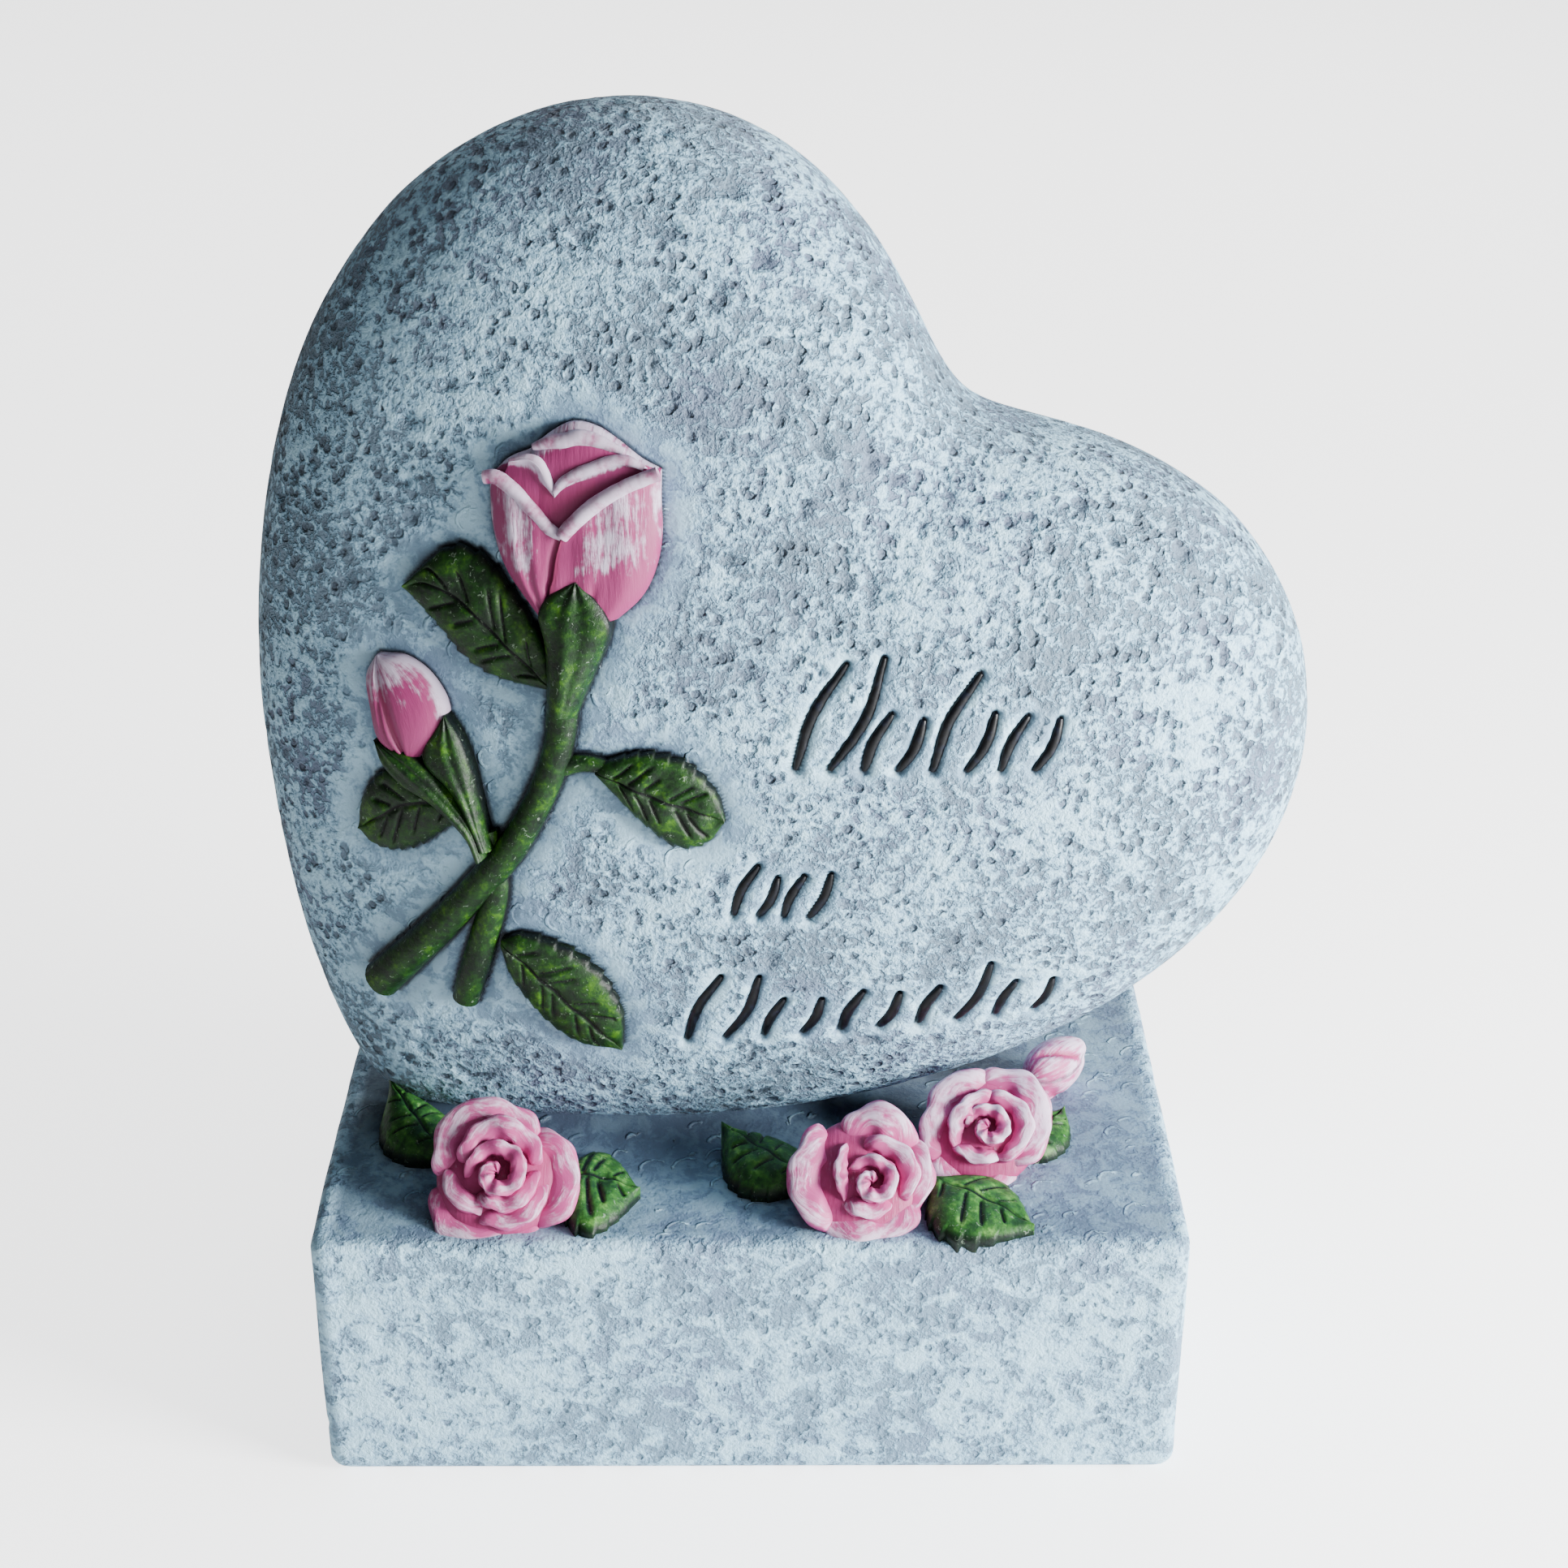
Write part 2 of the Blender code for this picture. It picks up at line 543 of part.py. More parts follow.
def foot_rose(name, x, y, share, spin, collection, pink):
    """A full rose in one solid: rings of notched petals that wind in from its rim."""
    radius = ROSE_RADIUS * share
    facing = np.array([0.0, -math.cos(ROSE_TILT), math.sin(ROSE_TILT)])
    level = np.array([1.0, 0.0, 0.0])
    climb = np.array([0.0, math.sin(ROSE_TILT), math.cos(ROSE_TILT)])
    middle = np.array([x * MM, y * MM, PLINTH_HEIGHT + ROSE_LIFT])
    around = np.linspace(0, 2 * math.pi, ROSE_SPOKES, endpoint=False)

    def ring(reach, height):
        flat = np.cos(around)[:, None] * level + np.sin(around)[:, None] * climb
        reach, height = (np.broadcast_to(value, around.shape)[:, None] for value in (reach, height))
        return middle + (flat * reach + facing * height) * radius

    rings = [ring(0.35, -ROSE_SETBACK / radius), ring(0.72, -0.7), ring(0.9, -0.4)]
    for row, (count, *places) in enumerate(PETAL_RINGS):
        phase = math.radians(spin + row * 41)
        gap = np.abs(np.cos(count * (around - phase) / 2)) ** 6
        lean = ((count * (around - phase) / (2 * math.pi)) % 1 - 0.5) * gap.max() * (1 - gap)
        for step in range(3):
            reach, height = places[2 * step], places[2 * step + 1]
            notch = PETAL_NOTCH * (1.0, 0.8, 0.1)[step] * reach
            dip = PETAL_DIP * (0.6, 1.0, 0.0)[step]
            rings.append(ring(reach - notch * gap, height - dip * gap + 0.07 * lean * (step < 2)))
    loft(name, rings, collection, pink)


def foot_leaf(name, base, tip, width, collection, green):
    """A leaf lying on the plinth, solid down to it."""
    line = smooth_line([base[:2], tip[:2]], 9) * MM
    rise = np.linspace(base[2], tip[2], 9)[:, None] * MM
    across = np.array([-1.0, -0.6, 0.0, 0.6, 1.0])
    places = ribbon(line, leaf_half_widths(width * MM, 9), across)
    blade = np.array([0.55, 1.0, 0.75, 1.0, 0.55])
    heights = PLINTH_HEIGHT + rise * blade
    top = np.concatenate([places, heights[..., None]], axis=-1)
    under = np.full(places.shape[:2], PLINTH_HEIGHT - FOOT_LEAF_ROOT)
    bottom = np.concatenate([places, under[..., None]], axis=-1)
    slab(name, top, bottom, collection, green)


def foot_bud(collection, pink):
    """The small bud beside the right rose."""
    start, end = (np.array([x, y, z + PLINTH_HEIGHT / MM]) * MM for x, y, z in FOOT_BUD)
    axis = (end - start) / np.linalg.norm(end - start)
    side = np.cross(axis, (0, 0, 1))
    side /= np.linalg.norm(side)
    above = np.cross(side, axis)
    around = np.linspace(0, 2 * math.pi, 12, endpoint=False)[:, None]
    rings = []
    for along, share in ((0, 0.6), (0.18, 0.9), (0.42, 1.0), (0.68, 0.9), (0.88, 0.66), (1.0, 0.3)):
        ring = np.cos(around) * side + np.sin(around) * above
        rings.append(start + (end - start) * along + ring * FOOT_BUD_RADIUS * share)
    loft("foot_bud", rings, collection, pink)
    low = start + np.array([1.5, -1.0, 0]) * MM
    foot = []
    for share, z in ((0.9, PLINTH_HEIGHT - FOOT_LEAF_ROOT), (0.8, start[2])):
        x = low[0] + FOOT_BUD_RADIUS * share * np.cos(around[:, 0])
        y = low[1] + FOOT_BUD_RADIUS * share * np.sin(around[:, 0])
        foot.append(np.column_stack([x, y, np.full(len(x), z)]))
    loft("foot_bud_stand", foot, collection, pink)


def build():
    """Remove what is in the scene and build the ornament."""
    for old in list(bpy.data.objects):
        bpy.data.objects.remove(old, do_unlink=True)
    scene = bpy.context.scene
    added = bpy.data.collections.new("Joined to the casting")
    cut = bpy.data.collections.new("Engraved strokes")
    for group in (added, cut):
        scene.collection.children.link(group)
    stone = paint("stone_blue_grey", (0.42, 0.46, 0.52), 0.85)
    pink = paint("petal_pink", (0.75, 0.2, 0.3), 0.6)
    green = paint("leaf_green", (0.05, 0.12, 0.03), 0.6)
    black = paint("stroke_black", (0.01, 0.012, 0.02), 0.35)

    heart = Heart()
    casting = heart.body(scene.collection, stone)
    casting.name = "grave_heart"
    casting.data.name = "grave_heart"
    plinth(added, stone)
    neck(heart, added, stone)
    sprig(heart, added, green)
    face_bud(heart, added, pink)
    small_face_bud(heart, added, pink)
    for name, x, y, share, spin in FOOT_ROSES:
        foot_rose(f"{name}_rose", x, y, share, spin, added, pink)
    for k, (base, tip, width) in enumerate(FOOT_LEAVES):
        foot_leaf(f"foot_leaf_{k + 1}", base, tip, width, added, green)
    foot_bud(added, pink)
    strokes(heart, cut, black)

    for group, operation in ((added, "UNION"), (cut, "DIFFERENCE")):
        join = casting.modifiers.new(group.name, "BOOLEAN")
        join.solver = "EXACT"
        join.operation = operation
        join.operand_type = "COLLECTION"
        join.collection = group
        join.material_mode = "TRANSFER"
        for guide in group.objects:
            guide.hide_render = True
            guide.display_type = "WIRE"
    casting.data.shade_smooth()


build()
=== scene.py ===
"""Grave heart ornament, dressed: a painted casting on a pale studio floor.

A plump stone heart leans on an oblong plinth. A rose in relief and three rows of engraved, black
strokes lie on its face, and full roses with leaves lie at its foot. Everything is one casting,
painted by hand, so every piece rides on the one body.
"""

import functools
import logging
import math
from collections.abc import Callable
from dataclasses import dataclass, field
from enum import Enum

import bmesh
import bpy
import numpy as np
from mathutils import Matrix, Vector, kdtree
from mathutils.bvhtree import BVHTree


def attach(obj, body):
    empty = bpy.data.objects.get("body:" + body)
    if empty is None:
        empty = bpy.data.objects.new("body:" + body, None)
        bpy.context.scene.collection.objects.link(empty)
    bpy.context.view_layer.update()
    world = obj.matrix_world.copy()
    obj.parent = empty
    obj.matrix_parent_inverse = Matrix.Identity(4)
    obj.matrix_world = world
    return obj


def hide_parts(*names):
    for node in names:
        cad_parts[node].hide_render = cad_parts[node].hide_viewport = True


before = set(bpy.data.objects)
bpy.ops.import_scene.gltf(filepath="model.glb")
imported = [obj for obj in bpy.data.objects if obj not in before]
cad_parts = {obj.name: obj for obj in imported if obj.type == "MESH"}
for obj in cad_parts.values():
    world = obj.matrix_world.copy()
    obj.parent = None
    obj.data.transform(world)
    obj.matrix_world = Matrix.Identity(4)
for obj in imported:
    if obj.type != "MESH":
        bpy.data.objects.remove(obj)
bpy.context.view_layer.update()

LOG = logging.getLogger("grave_heart")
MM = 0.001
NODE = "grave_heart"
BODY = "root"
WELD = 2e-6
Colour = tuple[float, float, float]
Point = tuple[float, float, float]
Knot = np.ndarray | tuple[float, ...]
Knots = tuple[tuple[float, ...], ...]
Faces = list[tuple[int, ...]]
Piece = bpy.types.Object
Socket = bpy.types.NodeSocket
Term = Socket | float
# What a finish reads on each point, by attribute name
Marks = dict[str, np.ndarray]
# Heights or points, and what a finish reads there
Shape = tuple[np.ndarray, Marks]
# Gives points of the scene, from flat places and heights or from points of a frame of their own
Placer = Callable[[np.ndarray, np.ndarray], np.ndarray]
Turner = Callable[[np.ndarray], np.ndarray]
# Gives heights and marks from shares across and along
Shaper = Callable[[np.ndarray, np.ndarray], Shape]
# Sockets for colour, roughness and height, and the height's depth in metres
Finish = tuple[Socket, Socket, Socket, float]


# Helpers for curves and meshes


def bezier(start: Knot, pull: Knot, push: Knot, end: Knot, steps: int) -> np.ndarray:
    """Read points off a cubic curve.

    Args:
        start: First point.
        pull: Handle of the first point.
        push: Handle of the last point.
        end: Last point.
        steps: Number of steps between both ends.

    Returns:
        steps + 1 points, both ends included.
    """
    t = np.linspace(0, 1, steps + 1)[:, None]
    a, b, c, d = (np.array(p, float) for p in (start, pull, push, end))
    return (1 - t) ** 3 * a + 3 * t * (1 - t) ** 2 * b + 3 * t * t * (1 - t) * c + t**3 * d


def smooth_line(knots: np.ndarray | Knots, count: int) -> np.ndarray:
    """Draw a smooth curve through a few knots.

    Args:
        knots: Points that the curve passes through.
        count: Number of points wanted.

    Returns:
        count points, evenly spaced along the curve.
    """
    knots = np.array(knots, float)
    ends = np.vstack([2 * knots[0] - knots[1], knots, 2 * knots[-1] - knots[-2]])
    dense = []
    for a, b, c, d in zip(ends, ends[1:], ends[2:], ends[3:]):
        dense.append(bezier(b, b + (c - a) / 6, c - (d - b) / 6, c, 16)[:-1])
    dense = np.vstack([*dense, knots[-1:]])
    along = np.concatenate([[0], np.cumsum(np.linalg.norm(np.diff(dense, axis=0), axis=1))])
    at = np.linspace(0, along[-1], count)
    return np.stack([np.interp(at, along, dense[:, k]) for k in range(dense.shape[1])], axis=1)


def smoothstep(low: float, high: float, value: np.ndarray) -> np.ndarray:
    """Rise smoothly from 0 at low to 1 at high."""
    t = np.clip((value - low) / (high - low), 0, 1)
    return t * t * (3 - 2 * t)


def bump(distance: np.ndarray, width: float) -> np.ndarray:
    """A soft bump of height 1 about 0, which falls to a third at a distance of width."""
    return np.exp(-((distance / width) ** 2))


def grid_faces(rows: int, columns: int, wrap: bool = False) -> Faces:
    """Quads of a grid whose points run row by row.

    Args:
        rows: Number of rows of points.
        columns: Number of points in a row.
        wrap: Whether each row is a closed ring.

    Returns:
        The quads, as tuples of point numbers.
    """
    last = columns if wrap else columns - 1
    return [
        (r * columns + c, (r + 1) * columns + c, (r + 1) * columns + (c + 1) % columns,
         r * columns + (c + 1) % columns)
        for r in range(rows - 1)
        for c in range(last)
    ]


def ribbon(line: np.ndarray, half_widths: np.ndarray, across: np.ndarray) -> np.ndarray:
    """Lay a grid of places along a flat line.

    Args:
        line: Points of the line, in two dimensions.
        half_widths: Half the width at each point of the line.
        across: Shares of the half width, from -1 to 1.

    Returns:
        Places with one row for each point of the line.
    """
    heading = np.gradient(line, axis=0)
    heading /= np.linalg.norm(heading, axis=1, keepdims=True)
    side = np.column_stack([heading[:, 1], -heading[:, 0]])
    return line[:, None] + side[:, None] * (half_widths[:, None] * across[None])[..., None]


def coons(bottom: np.ndarray, top: np.ndarray, left: np.ndarray, right: np.ndarray) -> np.ndarray:
    """Fill four edge lines with a grid of places.

    Args:
        bottom: Points of the bottom line, from left to right.
        top: As many points of the top line, from left to right.
        left: Points of the left line, from bottom to top.
        right: As many points of the right line, from bottom to top.

    Returns:
        Places with one row for each point of the left line.
    """
    v = np.linspace(0, 1, len(left))[:, None, None]
    u = np.linspace(0, 1, len(bottom))[None, :, None]
    ruled = (1 - v) * bottom[None] + v * top[None] + (1 - u) * left[:, None] + u * right[:, None]
    low = (1 - u) * bottom[0] + u * bottom[-1]
    high = (1 - u) * top[0] + u * top[-1]
    return ruled - (1 - v) * low - v * high


def tree_of(points: np.ndarray) -> kdtree.KDTree:
    """Sort points for a quick search.

    Args:
        points: Points of three numbers each.

    Returns:
        A tree that finds the nearest of them.
    """
    tree = kdtree.KDTree(len(points))
    for k, point in enumerate(points):
        tree.insert(point, k)
    tree.balance()
    return tree


class Maker:
    """Turns points and faces into finished objects of the casting."""

    @staticmethod
    def put(name: str, data: bpy.types.ID) -> Piece:
        """Put something into the scene.

        Args:
            name: The object's name.
            data: A mesh, a light or a camera.

        Returns:
            The new object.
        """
        piece = bpy.data.objects.new(name, data)
        bpy.context.scene.collection.objects.link(piece)
        return piece

    @staticmethod
    def mark(mesh: bpy.types.Mesh, marks: Marks) -> None:
        """Store values on a mesh's points, for its finish to read."""
        for key, values in marks.items():
            layer = mesh.attributes.new(key, "FLOAT", "POINT")
            layer.data.foreach_set("value", np.asarray(values, np.float32).ravel())

    @staticmethod
    def draft(points: np.ndarray, faces: Faces, marks: Marks) -> bmesh.types.BMesh:
        """Start a mesh that can still be cut and welded.

        Args:
            points: Its points.
            faces: Its faces as tuples of point numbers.
            marks: Values for each point, by attribute name.

        Returns:
            The mesh in the making.
        """
        mesh = bpy.data.meshes.new("draft")
        mesh.from_pydata(points.tolist(), [], faces)
        Maker.mark(mesh, marks)
        work = bmesh.new()
        work.from_mesh(mesh)
        bpy.data.meshes.remove(mesh)
        return work

    @staticmethod
    def settle(name: str, work: bmesh.types.BMesh) -> bpy.types.Mesh:
        """End a mesh in the making.

        Args:
            name: Name of the piece.
            work: The mesh in the making, which can't be used again.

        Returns:
            A smooth mesh whose faces point out.
        """
        bmesh.ops.recalc_face_normals(work, faces=work.faces)
        if work.calc_volume(signed=True) < 0:
            bmesh.ops.reverse_faces(work, faces=work.faces)
        mesh = bpy.data.meshes.new(name)
        work.to_mesh(mesh)
        work.free()
        mesh.shade_smooth()
        return mesh

    @staticmethod
    def reshape(mesh: bpy.types.Mesh, shaper: Callable[[np.ndarray], Shape]) -> None:
        """Move a mesh's points and mark them.

        Args:
            mesh: The mesh.
            shaper: Gives the points' new places and marks from their old places.
        """
        points = np.empty(len(mesh.vertices) * 3)
        mesh.vertices.foreach_get("co", points)
        moved, marks = shaper(points.reshape(-1, 3))
        mesh.vertices.foreach_set("co", moved.ravel())
        Maker.mark(mesh, marks)
        mesh.update()

    @staticmethod
    def mesh(name: str, points: np.ndarray, faces: Faces, marks: Marks, gap: float = WELD) -> Piece:
        """Make a closed, smooth piece.

        Args:
            name: Name of the piece.
            points: Points in metres.
            faces: Faces as tuples of point numbers.
            marks: Values for each point that its finish reads, by attribute name.
            gap: Points nearer to each other than this become one; none do at 0.

        Returns:
            The new piece, with its faces pointing out.
        """
        work = Maker.draft(points, faces, marks)
        if gap:
            bmesh.ops.remove_doubles(work, verts=work.verts, dist=gap)
            bmesh.ops.dissolve_degenerate(work, edges=work.edges, dist=gap)
        return Maker.put(name, Maker.settle(name, work))

    @staticmethod
    def slab(name: str, top: np.ndarray, bottom: np.ndarray, marks: Marks, gap: float = WELD) -> Piece:
        """Close the space between a grid of points and the stone under it.

        Args:
            name: Name of the piece.
            top: Grid of points of the visible side.
            bottom: Grid of points of the hidden side, of which only the rim is used.
            marks: Values for each point of the top, by attribute name.
            gap: Points nearer to each other than this become one; none do at 0.

        Returns:
            The new piece.
        """
        rows, columns = top.shape[:2]
        number = np.arange(rows * columns).reshape(rows, columns)
        rim = [*number[0], *number[1:, -1], *number[-1, -2::-1], *number[-2:0:-1, 0]]
        under = rows * columns + np.arange(len(rim))
        faces = grid_faces(rows, columns)
        faces += [(rim[k - 1], rim[k], int(under[k]), int(under[k - 1])) for k in range(len(rim))]
        faces.append(tuple(int(k) for k in under[::-1]))
        points = np.vstack([top.reshape(-1, 3), bottom.reshape(-1, 3)[rim]])
        both = {}
        for key, value in marks.items():
            value = np.broadcast_to(value, top.shape[:2]).ravel()
            both[key] = np.concatenate([value, value[rim]])
        return Maker.mesh(name, points, [tuple(int(k) for k in face) for face in faces], both, gap)

    @staticmethod
    def finish(piece: Piece, material: bpy.types.Material, slot: str) -> None:
        """Dress a piece and fix it to the casting, for whose plain solid it stands.

        Args:
            piece: The finished piece.
            material: Its finish.
            slot: The record's material slot; not used.
        """
        piece.data.materials.clear()
        piece.data.materials.append(material)
        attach(piece, BODY)
        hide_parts(NODE)
        LOG.info("%s: %d faces", piece.name, len(piece.data.polygons))


# Node trees


class Nodes:
    """A short hand for building node trees."""

    # The colour inputs of the mixing node
    MIXED = (6, 7)

    def __init__(self, tree: bpy.types.NodeTree) -> None:
        """Keep the tree to build in."""
        self.tree = tree

    def add(self, kind: str, values: dict | None = None, **settings) -> bpy.types.Node:
        """Add a node.

        Args:
            kind: Blender's name for the node type.
            values: Numbers or output sockets for its inputs, by input name or number.
            settings: The node's own settings.

        Returns:
            The new node.
        """
        node = self.tree.nodes.new(kind)
        for key, value in settings.items():
            setattr(node, key, value)
        for key, value in (values or {}).items():
            self.feed(node, key, value)
        return node

    def feed(self, node: bpy.types.Node, key: str | int, value: object) -> None:
        """Give a node's input a value or another node's output."""
        if isinstance(value, Socket):
            self.tree.links.new(value, node.inputs[key])
        else:
            node.inputs[key].default_value = value

    def math(self, operation: str, *values: Term) -> Socket:
        """Do sums.

        Args:
            operation: Blender's name for the sum, with ! to keep the result between 0 and 1.
            values: Numbers or sockets.

        Returns:
            The result's socket.
        """
        clamp = operation.endswith("!")
        node = self.add("ShaderNodeMath", dict(enumerate(values)),
                        operation=operation.rstrip("!"), use_clamp=clamp)
        return node.outputs[0]

    def plus(self, first: Term, second: Term) -> Socket:
        """Add two terms."""
        return self.math("ADD", first, second)

    def minus(self, first: Term, second: Term) -> Socket:
        """Take the second term from the first."""
        return self.math("SUBTRACT", first, second)

    def times(self, first: Term, second: Term) -> Socket:
        """Multiply two terms."""
        return self.math("MULTIPLY", first, second)

    def weighted(self, *terms: tuple[Socket, float]) -> Socket:
        """Add up terms, each times its weight."""
        return functools.reduce(self.plus, [self.times(term, weight) for term, weight in terms])

    def damped(self, value: Socket, by: Socket, share: float) -> Socket:
        """Weaken a value by up to a share, where another is 1."""
        return self.times(value, self.minus(1.0, self.times(by, share)))

    def vector(self, operation: str, *values: object) -> Socket:
        """Do a sum on vectors, by Blender's name for it, and give the result's socket."""
        return self.add("ShaderNodeVectorMath", dict(enumerate(values)), operation=operation).outputs[0]

    def ramp(self, value: Socket, low: float, high: float,
             start: float = 0.0, end: float = 1.0) -> Socket:
        """Map low..high smoothly to start..end."""
        node = self.add("ShaderNodeMapRange", {0: value, 1: low, 2: high, 3: start, 4: end},
                        interpolation_type="SMOOTHSTEP")
        return node.outputs[0]

    def shifted(self, place: Socket, seed: float) -> Socket:
        """Move a place far off, so that patterns with different seeds don't match."""
        away = (seed * 1.7, seed * -2.3, seed * 0.9)
        return self.vector("ADD", place, away)

    def noise(self, place: Socket, size: float, detail: float = 2.0,
              rough: float = 0.5, seed: float = 0.0, warp: float = 0.0) -> Socket:
        """Noise whose blotches are about size metres across."""
        node = self.add("ShaderNodeTexNoise",
                        {"Vector": self.shifted(place, seed), "Scale": 1 / size, "Detail": detail,
                         "Roughness": rough, "Distortion": warp}, noise_dimensions="3D")
        return node.outputs[0]

    def cells(self, place: Socket, size: float, seed: float = 0.0,
              random: float = 1.0) -> bpy.types.Node:
        """Cells about size metres across."""
        return self.add("ShaderNodeTexVoronoi",
                        {"Vector": self.shifted(place, seed), "Scale": 1 / size, "Randomness": random},
                        voronoi_dimensions="3D")

    def attribute(self, name: str) -> Socket:
        """A value stored on the piece's points."""
        node = self.add("ShaderNodeAttribute", attribute_name=name)
        return node.outputs["Fac"]

    def blend(self, share: Term, first: Socket | Colour, second: Socket | Colour) -> Socket:
        """Mix two colours.

        Args:
            share: How much of the second there is, from 0 to 1.
            first: A colour or a socket.
            second: A colour or a socket.

        Returns:
            The mixed colour's socket.
        """
        node = self.add("ShaderNodeMix", {0: share}, data_type="RGBA")
        for key, colour in zip(self.MIXED, (first, second)):
            self.feed(node, key, (*colour, 1) if isinstance(colour, tuple) else colour)
        return node.outputs[2]


def srgb(red: int, green: int, blue: int) -> Colour:
    """Turn a screen colour of 0..255 into Blender's linear colour."""
    shares = (value / 255 for value in (red, green, blue))
    return tuple(s / 12.92 if s <= 0.04045 else ((s + 0.055) / 1.055) ** 2.4 for s in shares)


class Paint:
    """A painted finish: what its kinds share."""

    name = "paint"
    gloss = 0.4

    def material(self) -> bpy.types.Material:
        """Build the finish.

        Returns:
            A new material.
        """
        material = bpy.data.materials.new(self.name)
        material.use_nodes = True
        nodes = Nodes(material.node_tree)
        shader = material.node_tree.nodes["Principled BSDF"]
        place = nodes.add("ShaderNodeTexCoord").outputs["Object"]
        colour, rough, height, depth = self.pattern(nodes, place)
        raised = nodes.add("ShaderNodeBump", {"Strength": 1.0, "Distance": depth, "Height": height})
        for key, value in (("Base Color", colour), ("Roughness", rough), ("Normal", raised.outputs[0]),
                           ("Specular IOR Level", self.gloss)):
            nodes.feed(shader, key, value)
        return material

    def pattern(self, nodes: Nodes, place: Socket) -> Finish:
        """Paint the pattern.

        Args:
            nodes: The material's tree.
            place: The place on the piece, in metres.

        Returns:
            Sockets for colour, roughness and height, and the height's depth in metres.
        """
        raise NotImplementedError


